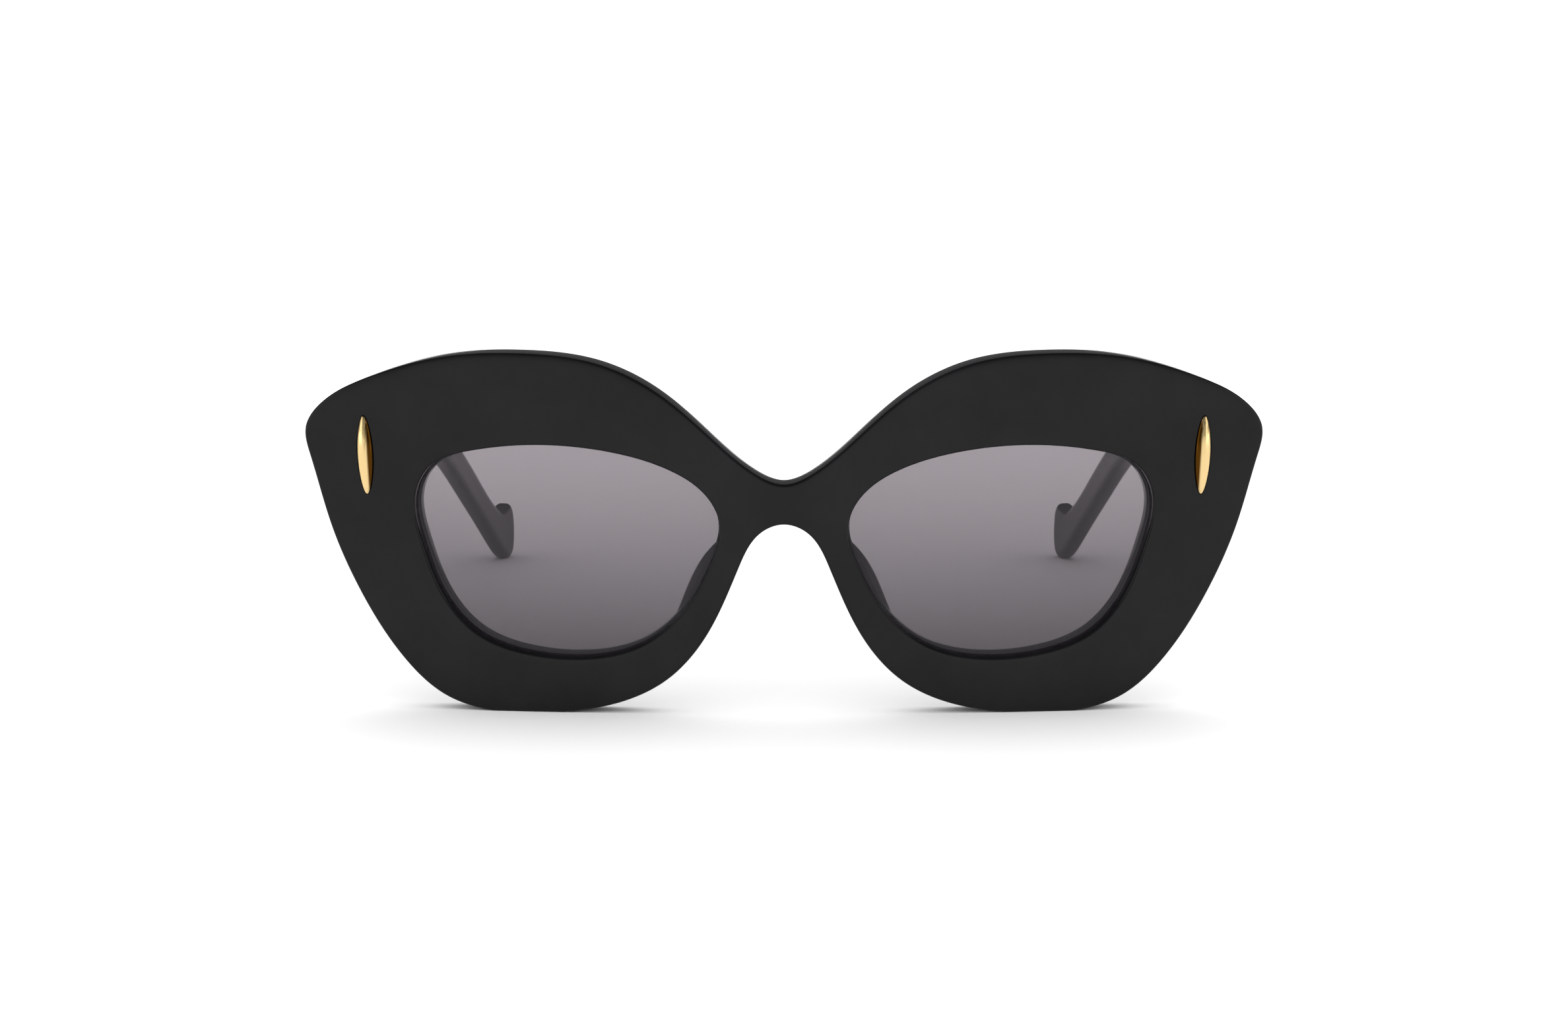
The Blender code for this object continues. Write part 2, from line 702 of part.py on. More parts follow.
def knuckles(levels, degrees, corners):
    """Knuckles round the hinge's axis, each reaching from an arc to the corners of its web."""
    bm = bmesh.new()
    arc = [(KNUCKLE_RADIUS * math.cos(turn), KNUCKLE_RADIUS * math.sin(turn))
           for turn in np.radians(np.linspace(*degrees, 15))]
    low = HINGE_Z - LEAF_HEIGHT / 2
    for level in levels:
        bottom = low + level * (KNUCKLE_HEIGHT + KNUCKLE_GAP)
        rings = [[(HINGE_X + x, HINGE_Y + y, z) for x, y in [*arc, *corners]]
                 for z in (bottom, bottom + KNUCKLE_HEIGHT)]
        one = loft(rings)
        mesh = bpy.data.meshes.new("knuckle")
        one.to_mesh(mesh)
        one.free()
        bm.from_mesh(mesh)
        bpy.data.meshes.remove(mesh)
    return bm


def build_hinge_half(shop, kind, leaf, webs, screws, metal):
    """A leaf joined to its knuckles, with its bore and its screw holes."""
    half = shop.add(leaf, kind, metal)
    add_boolean(half, shop.mould(webs, f"{kind}_knuckles"), "UNION")
    bore = add_cylinder(bmesh.new(), HINGE_BORE, 3 * LEAF_HEIGHT, at(HINGE_X, HINGE_Y, HINGE_Z))
    add_boolean(half, shop.mould(bore, f"{kind}_bore"))
    for name, place in screws:
        add_boolean(half, shop.mould(screw_hole(place, 2 * LEAF_THICKNESS), f"{name}_clearance"))
    apply_modifiers(half)
    return shop.pair(half, kind)


def build_front_hinges(shop, metal):
    size = (FRONT_LEAF_LENGTH, LEAF_THICKNESS, LEAF_HEIGHT)
    leaf = box(size, front_leaf_frame() @ at(0, -LEAF_THICKNESS / 2, 0))
    webs = knuckles(range(0, KNUCKLES, 2), FRONT_KNUCKLE_ARC, FRONT_WEB)
    return build_hinge_half(shop, "front_hinge", leaf, webs, front_screw_places(), metal)


def build_temple_hinges(shop, metal):
    size = (LEAF_THICKNESS, TEMPLE_LEAF_LENGTH, LEAF_HEIGHT)
    leaf = box(size, temple_leaf_frame() @ at(LEAF_THICKNESS / 2, 0, 0))
    webs = knuckles(range(1, KNUCKLES, 2), TEMPLE_KNUCKLE_ARC, TEMPLE_WEB)
    return build_hinge_half(shop, "temple_hinge", leaf, webs, temple_screw_places(), metal)


def screw_profile(head_radius, under, head_height, shank_radius):
    """The head of a screw and the top of its shank, from the middle of the head outwards."""
    top = under + head_height
    return [(0, top), (head_radius - HEAD_CHAMFER, top), (head_radius, top - HEAD_CHAMFER),
            (head_radius, under), (shank_radius, under)]


def build_pivots(shop, steel):
    head = screw_profile(HINGE_HEAD_RADIUS, LEAF_HEIGHT / 2 + KNUCKLE_GAP, HINGE_HEAD_HEIGHT,
                         HINGE_SCREW_RADIUS)
    end = [(HINGE_SCREW_RADIUS, -LEAF_HEIGHT / 2), (0, -LEAF_HEIGHT / 2)]
    shop.turned("hinge_screw", head + end, [("hinge_screw", at(HINGE_X, HINGE_Y, HINGE_Z))], steel)


def build_leaf_screws(shop, places, steel):
    head = screw_profile(LEAF_HEAD_RADIUS, KNUCKLE_GAP, LEAF_HEAD_HEIGHT, LEAF_SCREW_RADIUS)
    tip_radius, tip_length = LEAF_SCREW_TIP
    end = [(LEAF_SCREW_RADIUS, tip_length - LEAF_SCREW_LENGTH), (tip_radius, -LEAF_SCREW_LENGTH),
           (0, -LEAF_SCREW_LENGTH)]
    return shop.turned("leaf_screw", head + end, places, steel)


# ---------------------------------------------------------------- temples

def core_points(before=0.0, beyond=0.0):
    """The core's path, midway between the temple's upper and lower edges.

    The ends run out by before and beyond, for the channel.
    """
    loop = smooth_loop(TEMPLE_SIDE, count=OUTLINE_STATIONS, turns_weight=0.0)
    foremost, last = int(np.argmin(loop[:, 0])), int(np.argmax(loop[:, 0]))
    loop = np.roll(loop, -foremost, axis=0)
    last = (last - foremost) % len(loop)
    upper, lower = loop[: last + 1], loop[:last:-1]
    places = np.linspace(CORE_START, CORE_END, CORE_STATIONS)
    places[0] -= before
    places[-1] += beyond
    points = []
    for y in places:
        z = (np.interp(y, *upper.T) + np.interp(y, *lower.T)) / 2
        points.append((temple_middle(y), y, z))
    return points


def build_temple(shop, acetate):
    side = smooth_loop(TEMPLE_SIDE, count=TEMPLE_STATIONS, turns_weight=6.0)
    bm = slab_from_outline(side, TEMPLE_THICKNESS / 2, TEMPLE_EDGE_ROUND, 1)
    butt = HINGE_Y + BUTT_GAP
    cut = bmesh.ops.bisect_plane(bm, geom=bm.verts[:] + bm.edges[:] + bm.faces[:], dist=0.001,
                                 plane_co=(butt, 0, 0), plane_no=(1, 0, 0), clear_inner=True)
    end = [item for item in cut["geom_cut"] if isinstance(item, bmesh.types.BMEdge)]
    bmesh.ops.contextual_create(bm, geom=end)
    slice_along(bm, 0, TEMPLE_SLICES)
    for vert in bm.verts:
        y, z, across = vert.co
        across *= temple_thickness(y) / TEMPLE_THICKNESS
        slope = temple_middle(y + 0.5) - temple_middle(y - 0.5)
        square = math.hypot(1, slope)
        vert.co = (temple_middle(y) + across / square, y - across * slope / square, max(z, 0.0))
    bmesh.ops.recalc_face_normals(bm, faces=bm.faces)
    temple = shop.add(bm, "temple", acetate)
    size = (2 * (LEAF_THICKNESS + LEAF_GAP), TEMPLE_LEAF_LENGTH + 2 * LEAF_GAP
            + TEMPLE_SEAT_MOUTH, LEAF_HEIGHT + 2 * LEAF_GAP)
    seat = box(size, temple_leaf_frame() @ at(0, -TEMPLE_SEAT_MOUTH / 2, 0))
    add_boolean(temple, shop.mould(seat, "temple_leaf_seat"))
    for name, place in temple_screw_places():
        hole = screw_hole(place, LEAF_SCREW_LENGTH + LEAF_GAP)
        add_boolean(temple, shop.mould(hole, f"{name}_hole"))
    channel = tube(core_points(CHANNEL_MOUTH, CORE_GAP), CORE_RADIUS + CORE_GAP)
    add_boolean(temple, shop.mould(channel, "core_channel"))
    apply_modifiers(temple)
    return shop.pair(temple, "temple")


def build_cores(shop, steel):
    return shop.pair(shop.add(tube(core_points(), CORE_RADIUS), "temple_core", steel),
                     "temple_core")


# ---------------------------------------------------------------- the whole object

def main():
    clear_scene()
    shop = Workshop("cat_eye_sunglasses")
    acetate = make_material("black_acetate", ACETATE, 0.16)
    tint = make_material("smoke_lens", LENS_TINT, 0.03, alpha=0.75)
    gold = make_material("polished_gold", GOLD, 0.12, metallic=1.0)
    metal = make_material("hinge_metal", HINGE_METAL, 0.30, metallic=1.0)
    steel = make_material("screw_steel", STEEL, 0.32, metallic=1.0)
    front = build_front(shop, acetate)
    build_lenses(shop, tint)
    build_plaques(shop, front, gold)
    build_nose_pads(shop, acetate)
    build_front_hinges(shop, metal)
    build_pivots(shop, steel)
    build_leaf_screws(shop, front_screw_places(), steel)
    moving = [*build_temple_hinges(shop, metal)]
    moving += build_leaf_screws(shop, temple_screw_places(), steel)
    moving += [*build_temple(shop, acetate), *build_cores(shop, steel)]
    for side, sign in (("left", 1), ("right", -1)):
        arm = new_empty(f"{side}_arm", shop.parts, (sign * HINGE_X, HINGE_Y, HINGE_Z), shop.frame)
        hang_on(arm, [piece for piece in moving if piece.name.startswith(side)])


main()
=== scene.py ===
"""Cat eye sunglasses: the finished surfaces, on the packed frame.

Shapes are worked out in millimetres in the front's own frame: x to the wearer's left, y back
along the temples from the bridge's front face, z up from the surface that the glasses stand on.
Pieces of a pair are made at +x and mirrored to -x.
"""

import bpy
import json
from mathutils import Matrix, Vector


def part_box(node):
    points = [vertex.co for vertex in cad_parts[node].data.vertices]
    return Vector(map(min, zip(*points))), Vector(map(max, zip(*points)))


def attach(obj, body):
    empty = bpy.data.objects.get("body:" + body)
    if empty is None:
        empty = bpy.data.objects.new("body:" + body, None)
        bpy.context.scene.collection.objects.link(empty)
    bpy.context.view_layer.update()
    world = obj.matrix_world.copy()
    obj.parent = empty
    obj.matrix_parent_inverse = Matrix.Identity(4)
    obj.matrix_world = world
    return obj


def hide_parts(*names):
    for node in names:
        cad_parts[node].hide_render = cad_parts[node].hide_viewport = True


bl_info = {
    "name": "Cat eye sunglasses",
    "version": (1, 0, 0),
    "blender": (4, 5, 0),
    "location": "3D View > Sidebar > Sunglasses",
    "description": "Builds acetate sunglasses with tinted lenses, gold plaques and barrel hinges",
    "category": "Add Mesh",
}

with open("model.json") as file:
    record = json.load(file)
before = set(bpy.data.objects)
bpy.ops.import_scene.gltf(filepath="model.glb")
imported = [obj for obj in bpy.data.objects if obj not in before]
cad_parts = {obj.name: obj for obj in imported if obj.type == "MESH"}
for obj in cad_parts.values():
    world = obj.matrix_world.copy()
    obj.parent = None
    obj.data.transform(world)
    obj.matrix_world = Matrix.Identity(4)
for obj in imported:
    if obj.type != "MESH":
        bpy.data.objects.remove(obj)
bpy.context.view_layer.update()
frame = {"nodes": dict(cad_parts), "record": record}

import json
import math

import bmesh
import bpy
import numpy as np
from bpy.props import FloatProperty, FloatVectorProperty, IntProperty, PointerProperty
from mathutils import Matrix, Vector

MM = 0.001
QUARTER = math.pi / 2
SIDES = (("left", 1), ("right", -1))
FINISHES = {}  # materials that have been made, by name
BRIDGE_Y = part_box("front_frame")[0].y / MM
HINGE = Vector(frame["record"]["behaviour"]["joints"][0]["pos_m"]) / MM - Vector((0, BRIDGE_Y, 0))

# Outlines, as x, z on the front and y, z on the temple
OUTLINE_HALF = (  # from the top of the bridge, over the cat eye corner, to the nose arch
    (0, 36.3), (4.5, 38.0), (11, 43.3), (20, 50.8), (29, 55.0), (41, 56.5), (54, 55.6),
    (65, 52.3), (72, 48.5), (74.9, 44.2), (74.2, 39.8), (71, 28.8), (66.3, 18.1), (59.5, 7.8),
    (53, 2.2), (45.5, 0.0), (36, -0.1), (27, 1.3), (18.5, 5.2), (12.6, 11.6), (7, 23.3),
    (3.7, 28.6), (0, 30.0),
)
OPENING = (  # the lens opening at the front's face
    (10.0, 29.8), (12.0, 34.3), (17.5, 38.3), (27, 41.2), (38.5, 42.2), (49, 41.1),
    (55.2, 38.6), (57.6, 34.0), (56.6, 26.8), (53.2, 18.2), (48, 12.4), (40, 9.4),
    (31, 8.8), (22.5, 10.8), (15.5, 16.6), (11.3, 24.2),
)
OPENING_CENTRE = (34.0, 27.0)
OPENING_STATIONS = 3000  # of which the nearest to each section is used
TEMPLE_SIDE = (  # its front end is cut off at the butt joint
    (-8, 48.7), (6, 47.4), (18, 46.2), (36, 44.4), (60, 41.5), (82, 38.2), (96, 34.9),
    (107, 30.2), (116, 25.0), (125, 19.1), (132.5, 13.7), (137.4, 10.7), (139.5, 10.0),
    (141.4, 10.25), (143.3, 10.5), (145.0, 9.5), (145.8, 7.2), (146.0, 5.0), (145.8, 2.6),
    (144.9, 0.6), (143.3, -0.1), (141.4, 0.3), (138.8, 1.9), (135.4, 4.5), (130, 8.6),
    (121, 14.8), (112, 20.5), (103, 24.9), (92, 27.9), (75, 30.2), (45, 32.4), (20, 33.8),
    (6, 34.5), (-8, 35.2), (-11, 42),
)

# Lens seat and lens
REAR_LIP = 0.3  # how far the opening is tighter behind the lens
LENS_DEPTH = 2.4  # from the front face to the middle of the lens
LENS_THICKNESS = 2.0
LENS_BEVEL = 0.8
LENS_GAP = 0.1
LENS_SECTIONS = 260
LENS_STEPS_IN = (0.0, 0.03, 0.08, 0.16, 0.28, 0.42, 0.58, 0.74, 0.88)  # shares of the way in

# Hinge
KNUCKLES = 5  # the front holds the odd ones, the temple those between
KNUCKLE_HEIGHT = 1.1
KNUCKLE_GAP = 0.06
KNUCKLE_RADIUS = 1.45
FRONT_KNUCKLE_ARC = (-50, 190)  # degrees, from the side of the temple round the rear
FRONT_WEB = ((-1.43, -2.5), (0.93, -2.5))  # x, y from the axis to where the webs meet the leaf
TEMPLE_KNUCKLE_ARC = (90, 374)
TEMPLE_WEB = ((2.2, 0.35), (2.2, KNUCKLE_RADIUS))
BORE_RADIUS = 0.72
LEAF_THICKNESS = 1.0
LEAF_GAP = 0.1
LEAF_SOFTENING = 0.07  # width of the bevel on a leaf's edges
LEAF_HEIGHT = KNUCKLES * KNUCKLE_HEIGHT + (KNUCKLES - 1) * KNUCKLE_GAP
FRONT_LEAF_LENGTH = 7.4
FRONT_LEAF_X = 62.6  # where the middle of the leaf lies along the bent front
TEMPLE_LEAF_LENGTH = 10.5
TEMPLE_LEAF_START = HINGE.y + 0.2
TEMPLE_SEAT_MOUTH = 2.0  # how far the leaf's seat runs on, past the butt joint
COUNTERSINK = ((0.55, -1.5), (0.55, -0.12), (0.72, 0.02), (0.72, 1.0))  # radius, height
LEAF_SCREW_SPREAD = 1.8  # each screw's distance above or below the hinge's middle
FRONT_SCREWS_ALONG = -2.2  # from the middle of the leaf, towards the bridge
TEMPLE_SCREWS_ALONG = -0.8  # from the middle of the leaf, towards the hinge

# Screws
PIVOT_RADIUS = 0.66
PIVOT_HEAD_RADIUS = 1.15
PIVOT_HEAD_HEIGHT = 0.7
PIVOT_SLOT = (math.radians(35),)
LEAF_SCREW_RADIUS = 0.45
LEAF_SCREW_LENGTH = 2.9
LEAF_HEAD_RADIUS = 0.85
LEAF_HEAD_HEIGHT = 0.4
LEAF_SCREW_CROSS = (math.radians(20), math.radians(110))
SCREW_POINT = 0.25
HEAD_CHAMFER = 0.06
HEAD_CROWN = 0.22
CROWN_TURN = 1.35  # radians of arc from the head's edge, which leave a small flat on top
SLOT_WIDTH = 0.2
SLOT_DEPTH = 0.25

# Lug, temple and its core
LUG_X = 68.65
LUG_WIDTH = 5.0
LUG_HEIGHT = 12.6
LUG_ROOT = 1.6  # how deep it runs into the front
LUG_CORNER = 1.0
BUTT_GAP = 0.1
TEMPLE_X = 68.2  # middle of the temple's thickness at the hinge
TEMPLE_THICKNESS = 4.4
TEMPLE_TIP_THICKNESS = 2.9
TEMPLE_END_Y = 146.0
TEMPLE_SWEEP = 15.2  # how far the tip lies inward of the hinge end
TEMPLE_SWEEP_POWER = 2.7
TEMPLE_STATIONS = 360  # round its outline
TEMPLE_EDGE_ROUND = 1.4
TEMPLE_EDGE_STEPS = 5
TEMPLE_SLICES = np.arange(30.0, TEMPLE_END_Y, 2.0)  # y, where the temple may bend
CORE_HOLE_RADIUS = 0.75
CORE_HOLE_DEPTH = 3.0

# Plaque and nose pad
PLAQUE_X = 65.35
PLAQUE_Z = 40.2
PLAQUE_SUNK = 0.5
PLAQUE_LEAN = math.radians(2.3)
PLAQUE_POINTED = 0.12  # how much slimmer than an ellipse its ends are
PLAQUE_GAP = 0.1
PLAQUE_STEPS = 16  # rings up its dome
PAD_PATH = (  # x, z along the rim, from its top down
    (8.2, 27.3), (9.6, 24.1), (11.0, 20.6), (12.6, 17.2), (15.0, 13.4), (19.0, 9.4),
)
PAD_SECTIONS = 49
PAD_RING = 25  # points from the nose side to the lens side
PAD_SUNK = 0.15  # how deep it starts inside the front
PAD_END = 0.25  # half its width at either end
PAD_SWELL = 2.35  # added to half its width in the middle
PAD_REACH = 6.1  # how far it stands back
PAD_FLARE = 0.46  # sideways run for each millimetre back
PAD_FLARE_EASES = 0.25  # share of the flare that is lost at its full reach


# ---------------------------------------------------------------- properties

def length(name, description, default):
    return FloatProperty(name=name, description=description, default=default, min=0.0, unit="NONE",
                         subtype="DISTANCE")


def share(name, description, default):
    return FloatProperty(name=name, description=description, default=default, min=0.0, max=1.0,
                         subtype="FACTOR")


def colour(name, description, default):
    return FloatVectorProperty(name=name, description=description, default=default, min=0.0,
                               max=1.0, size=3, subtype="COLOR")


class FrontSettings(bpy.types.PropertyGroup):
    """The acetate front"""
    thickness: length("Thickness", "Front to back, in millimetres", 5.5)
    bend_radius: length("Bend radius", "Of the face wrap, in millimetres", 380.0)
    edge_round: length("Edge round", "Radius of the polished edges, in millimetres", 0.4)
    sections: IntProperty(name="Sections", description="Sections round the outline", default=520)


class AcetateSettings(bpy.types.PropertyGroup):
    """Polished black cellulose acetate"""
    base: colour("Colour", "Colour of the sheet", (0.0052, 0.0050, 0.0056))
    cloud: colour("Cloud", "Colour of its faint mottling", (0.0085, 0.0082, 0.0092))
    roughness: share("Roughness", "After tumbling and buffing", 0.10)


class LensSettings(bpy.types.PropertyGroup):
    """Smoke tint, with painted shade that makes it darker towards the bottom"""
    tint: colour("Tint", "Colour that the surface adds", (0.022, 0.019, 0.024))
    passes: colour("Passes", "Colour of the light that comes through", (1.0, 0.955, 0.99))
    top_density: share("Density at the top", "Share of the light that a face stops", 0.505)
    # Painted shade: the extra density at the bottom stands in for the shade seen through the lower
    # part of the lens
    bottom_density_and_painted_shade: share("Density at the bottom", "Share of the light that a face stops", 0.744)
    bulge: length("Bulge", "How far the middle stands forward, in millimetres", 0.5)


class MetalSettings(bpy.types.PropertyGroup):
    """Gold plate, nickel silver and steel"""
    gold: colour("Gold", "Colour of the plaques", (0.77, 0.565, 0.27))
    # Painted shade: a dark gold that stands in for dark reflections at the plaque's inner edge and
    # in its upper streaks
    painted_shade_gold: colour("Gold shade", "Colour of the inner edge", (0.07, 0.028, 0.003))
    nickel: colour("Nickel silver", "Colour of the hinges", (0.62, 0.57, 0.48))
    steel: colour("Steel", "Colour of the screws", (0.56, 0.56, 0.57))
    plaque_width: length("Plaque width", "Across the oval, in millimetres", 2.5)
    plaque_height: length("Plaque height", "Along the oval, in millimetres", 12.4)
    plaque_dome: length("Plaque dome", "How far it stands out, in millimetres", 0.75)


class StageSettings(bpy.types.PropertyGroup):
    """Floor, light and camera"""
    floor: colour("Floor", "Colour of the floor", (0.96, 0.96, 0.96))
    ambient: FloatProperty(name="Ambient", description="Strength of the room's light", default=1.19)
    distance: FloatProperty(name="Distance", description="Camera to bridge, level", default=0.6,
                            subtype="DISTANCE", unit="LENGTH")
    height: FloatProperty(name="Height", description="Camera height", default=0.1295,
                          subtype="DISTANCE", unit="LENGTH")
    aim: FloatProperty(name="Aim", description="Height that the camera looks at", default=0.0312,
                       subtype="DISTANCE", unit="LENGTH")
    view_width: FloatProperty(name="View width", description="Width in view at the bridge",
                              default=0.243, subtype="DISTANCE", unit="LENGTH")


# ---------------------------------------------------------------- outlines

def smooth_loop(points, count, turns_weight=8.0, dense=60):
    """Points along a closed cubic spline through points, closer together where it turns."""
    knots = np.array(points, float)
    number = len(knots)
    after = np.roll(knots, -1, axis=0)
    spans = np.linalg.norm(after - knots, axis=1)
    slopes = (after - knots) / spans[:, None]
    system = np.zeros((number, number))
    for i in range(number):
        system[i, i - 1] += spans[i - 1]
        system[i, i] += 2 * (spans[i - 1] + spans[i])
        system[i, (i + 1) % number] += spans[i]
    bends = np.linalg.solve(system, 6 * (slopes - np.roll(slopes, 1, axis=0)))
    next_bends = np.roll(bends, -1, axis=0)
    curve = []
    for i in range(number):
        for t in np.arange(dense) / dense:
            rest = 1 - t
            bend = (rest**3 - rest) * bends[i] + (t**3 - t) * next_bends[i]
            curve.append(rest * knots[i] + t * after[i] + spans[i] ** 2 / 6 * bend)
    return spread(np.array(curve), count, turns_weight)


def spread(curve, count, turns_weight):
    """Count points of a dense closed curve, evenly spaced in length plus weighted turning."""
    steps = np.roll(curve, -1, axis=0) - curve
    heading = np.arctan2(steps[:, 1], steps[:, 0])
    change = np.diff(np.append(heading, heading[0]))
    turning = np.abs((change + math.pi) % (2 * math.pi) - math.pi)
    reach = np.linalg.norm(steps, axis=1) + turns_weight * turning
    measure = np.concatenate([[0], np.cumsum(reach)])
    wanted = np.arange(count) / count * measure[-1]
    closed = np.vstack([curve, curve[:1]])
    return np.column_stack([np.interp(wanted, measure, closed[:, k]) for k in (0, 1)])


def outward_normals(loop):
    """Unit normals of a closed loop, pointing away from its middle's side."""
    along = np.roll(loop, -1, axis=0) - np.roll(loop, 1, axis=0)
    normals = np.column_stack([along[:, 1], -along[:, 0]])
    normals /= np.linalg.norm(normals, axis=1)[:, None]
    area = np.sum(loop[:, 0] * np.roll(loop[:, 1], -1) - np.roll(loop[:, 0], -1) * loop[:, 1])
    return normals if area > 0 else -normals


def front_settings():
    return bpy.context.scene.glasses_front


def bent(x, z, depth):
    """A point of the flat front, at depth behind its face, after the front is bent."""
    radius = front_settings().bend_radius
    angle = math.asin(x / radius)
    return Vector((x - depth * math.sin(angle), radius * (1 - math.cos(angle))
                   + depth * math.cos(angle), z))


def bent_turn(x):
    """The rotation of the bent front at x."""
    return Matrix.Rotation(math.asin(x / front_settings().bend_radius), 4, "Z")


def temple_share(y):
    """How far y lies along the temple, from 0 at the hinge to 1 at the tip."""
    return min(1.0, max(0.0, (y - HINGE.y) / (TEMPLE_END_Y - HINGE.y)))


def temple_middle(y):
    """x of the middle of the temple's thickness at y."""
    return TEMPLE_X - TEMPLE_SWEEP * temple_share(y) ** TEMPLE_SWEEP_POWER


def temple_thickness(y):
    return TEMPLE_THICKNESS + (TEMPLE_TIP_THICKNESS - TEMPLE_THICKNESS) * temple_share(y)


# ---------------------------------------------------------------- solids, in millimetres

def at(x, y, z):
    return Matrix.Translation((x, y, z))


def loft(rings):
    """A solid through rings of equally many points, capped at both ends."""
    bm = bmesh.new()
    rows = [[bm.verts.new(point) for point in ring] for ring in rings]
    for near, far in zip(rows, rows[1:]):
        for i in range(len(near)):
            bm.faces.new((near[i - 1], near[i], far[i], far[i - 1]))
    bm.faces.new(rows[0])
    bm.faces.new(rows[-1])
    bmesh.ops.recalc_face_normals(bm, faces=bm.faces)
    return bm


def box(size, place, corner=0.0, upright=None):
    """A box whose edges, or only those along one axis, are rounded."""
    bm = bmesh.new()
    bmesh.ops.create_cube(bm, size=1.0, matrix=Matrix.Diagonal((*size, 1.0)))
    if corner:
        chosen = [edge for edge in bm.edges if upright is None
                  or abs((edge.verts[0].co - edge.verts[1].co)[upright]) > 0.5 * size[upright]]
        bmesh.ops.bevel(bm, geom=chosen, offset=corner, segments=4, affect="EDGES", profile=0.5)
    bmesh.ops.transform(bm, matrix=place, verts=bm.verts)
    return bm


def turned(profile, place, sides=40):
    """A solid of revolution about place's z, from (radius, height) points."""
    turns = np.arange(sides) / sides * 2 * math.pi
    return loft([[place @ Vector((radius * math.cos(t), radius * math.sin(t), height))
                  for t in turns] for radius, height in profile])


def post(radius, low, high, place, sides=32):
    """A cylinder about place's z, from low to high."""
    return turned(((radius, low), (radius, high)), place, sides)


def mesh_from(bm, name):
    mesh = bpy.data.meshes.new(name)
    bm.to_mesh(mesh)
    bm.free()
    return mesh


class Bench:
    """Turns solids into pieces: joins, cuts and softens them, mirrors them and lets them ride."""

    def __init__(self, bm, name):
        self.piece = bpy.data.objects.new(name, mesh_from(bm, name))
        bpy.context.scene.collection.objects.link(self.piece)
        self.tools = []

    def boolean(self, bm, operation):
        tool = bpy.data.objects.new("tool", mesh_from(bm, "tool"))
        bpy.context.scene.collection.objects.link(tool)
        self.tools.append(tool)
        modifier = self.piece.modifiers.new(operation.lower(), "BOOLEAN")
        modifier.operation = operation
        modifier.object = tool
        modifier.solver = "EXACT"

    def join(self, bm):
        self.boolean(bm, "UNION")

    def cut(self, bm):
        self.boolean(bm, "DIFFERENCE")

    def soften(self, width, segments=2):
        """A small bevel on every sharp edge."""
        modifier = self.piece.modifiers.new("soften", "BEVEL")
        modifier.width = width
        modifier.segments = segments
        modifier.limit_method = "ANGLE"
        modifier.angle_limit = math.radians(40)

    def apply(self):
        """Bakes the modifiers into the mesh and removes the tools."""
        graph = bpy.context.evaluated_depsgraph_get()
        mesh = bpy.data.meshes.new_from_object(self.piece.evaluated_get(graph))
        self.piece.modifiers.clear()
        self.piece.data = mesh
        for tool in self.tools:
            bpy.data.objects.remove(tool)
        self.tools = []

    def finish(self, material, body, slot, node, flip=False, sharp=35):
        """Scales the piece to metres in the row frame, dresses it and lets it ride on a body.

        flip mirrors it to the other side. Edges that turn by more than sharp degrees stay crisp.
        """
        if self.piece.modifiers:
            self.apply()
        mesh = self.piece.data
        to_row = Matrix.Translation((0, BRIDGE_Y * MM, 0)) @ Matrix.Scale(MM, 4)
        mesh.transform(to_row @ (Matrix.Diagonal((-1, 1, 1, 1)) if flip else Matrix.Identity(4)))
        if flip:
            mesh.flip_normals()
        mesh.materials.clear()
        mesh.materials.append(material)
        mesh.shade_smooth()
        mesh.set_sharp_from_angle(angle=math.radians(sharp))
        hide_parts(node)
        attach(self.piece, body)
        return self.piece

    def finish_pair(self, kind, material, slot, arm=False, sharp=35):
        """Finishes a left piece and its mirror image, which replace left_kind and right_kind."""
        if self.piece.modifiers:
            self.apply()
        other = Bench(bmesh.new(), "mirrored")
        other.piece.data = self.piece.data.copy()
        for bench, (side, sign) in zip((self, other), SIDES):
            bench.piece.name = f"{side}_{kind}_finished"
            body = f"{side}_arm" if arm else "front"
            bench.finish(material, body, slot, f"{side}_{kind}", sign < 0, sharp)


# ---------------------------------------------------------------- shader maths

class Value:
    """A node's output. Arithmetic on it adds Math nodes."""

    def __init__(self, shader, output):
        self.shader = shader
        self.output = output

    def math(self, operation, first, second):
        return self.shader.node("ShaderNodeMath", {"operation": operation}, {0: first, 1: second})

    def __add__(self, other):
        return self.math("ADD", self, other)

    def __sub__(self, other):
        return self.math("SUBTRACT", self, other)

    def __rsub__(self, other):
        return self.math("SUBTRACT", other, self)

    def __mul__(self, other):
        return self.math("MULTIPLY", self, other)

    def __pow__(self, other):
        return self.math("POWER", self, other)

    __radd__ = __add__
    __rmul__ = __mul__


class Nodes:
    """A node tree that a material or the room's light is built in."""

    def __init__(self, tree):
        self.tree = tree

    def node(self, kind, settings=None, inputs=None, output=0):
        """Adds a node: its settings first, then the values or links of its sockets."""
        made = self.tree.nodes.new(kind)
        for name, value in (settings or {}).items():
            setattr(made, name, value)
        for key, value in (inputs or {}).items():
            self.feed(made.inputs[key], value)
        return Value(self, made.outputs[output])

    def feed(self, socket, value):
        if isinstance(value, Value):
            self.tree.links.new(value.output, socket)
        elif socket.type == "RGBA":
            socket.default_value = (*value, 1.0)
        else:
            socket.default_value = value

    def axis(self, vector, index):
        return self.node("ShaderNodeSeparateXYZ", inputs={0: vector}, output=index)

    def ranged(self, value, low, high, to_low=0.0, to_high=1.0):
        """Maps low..high to to_low..to_high, and stops at both."""
        return self.node("ShaderNodeMapRange", {"clamp": True}, {"Value": value, "From Min": low,
                         "From Max": high, "To Min": to_low, "To Max": to_high})


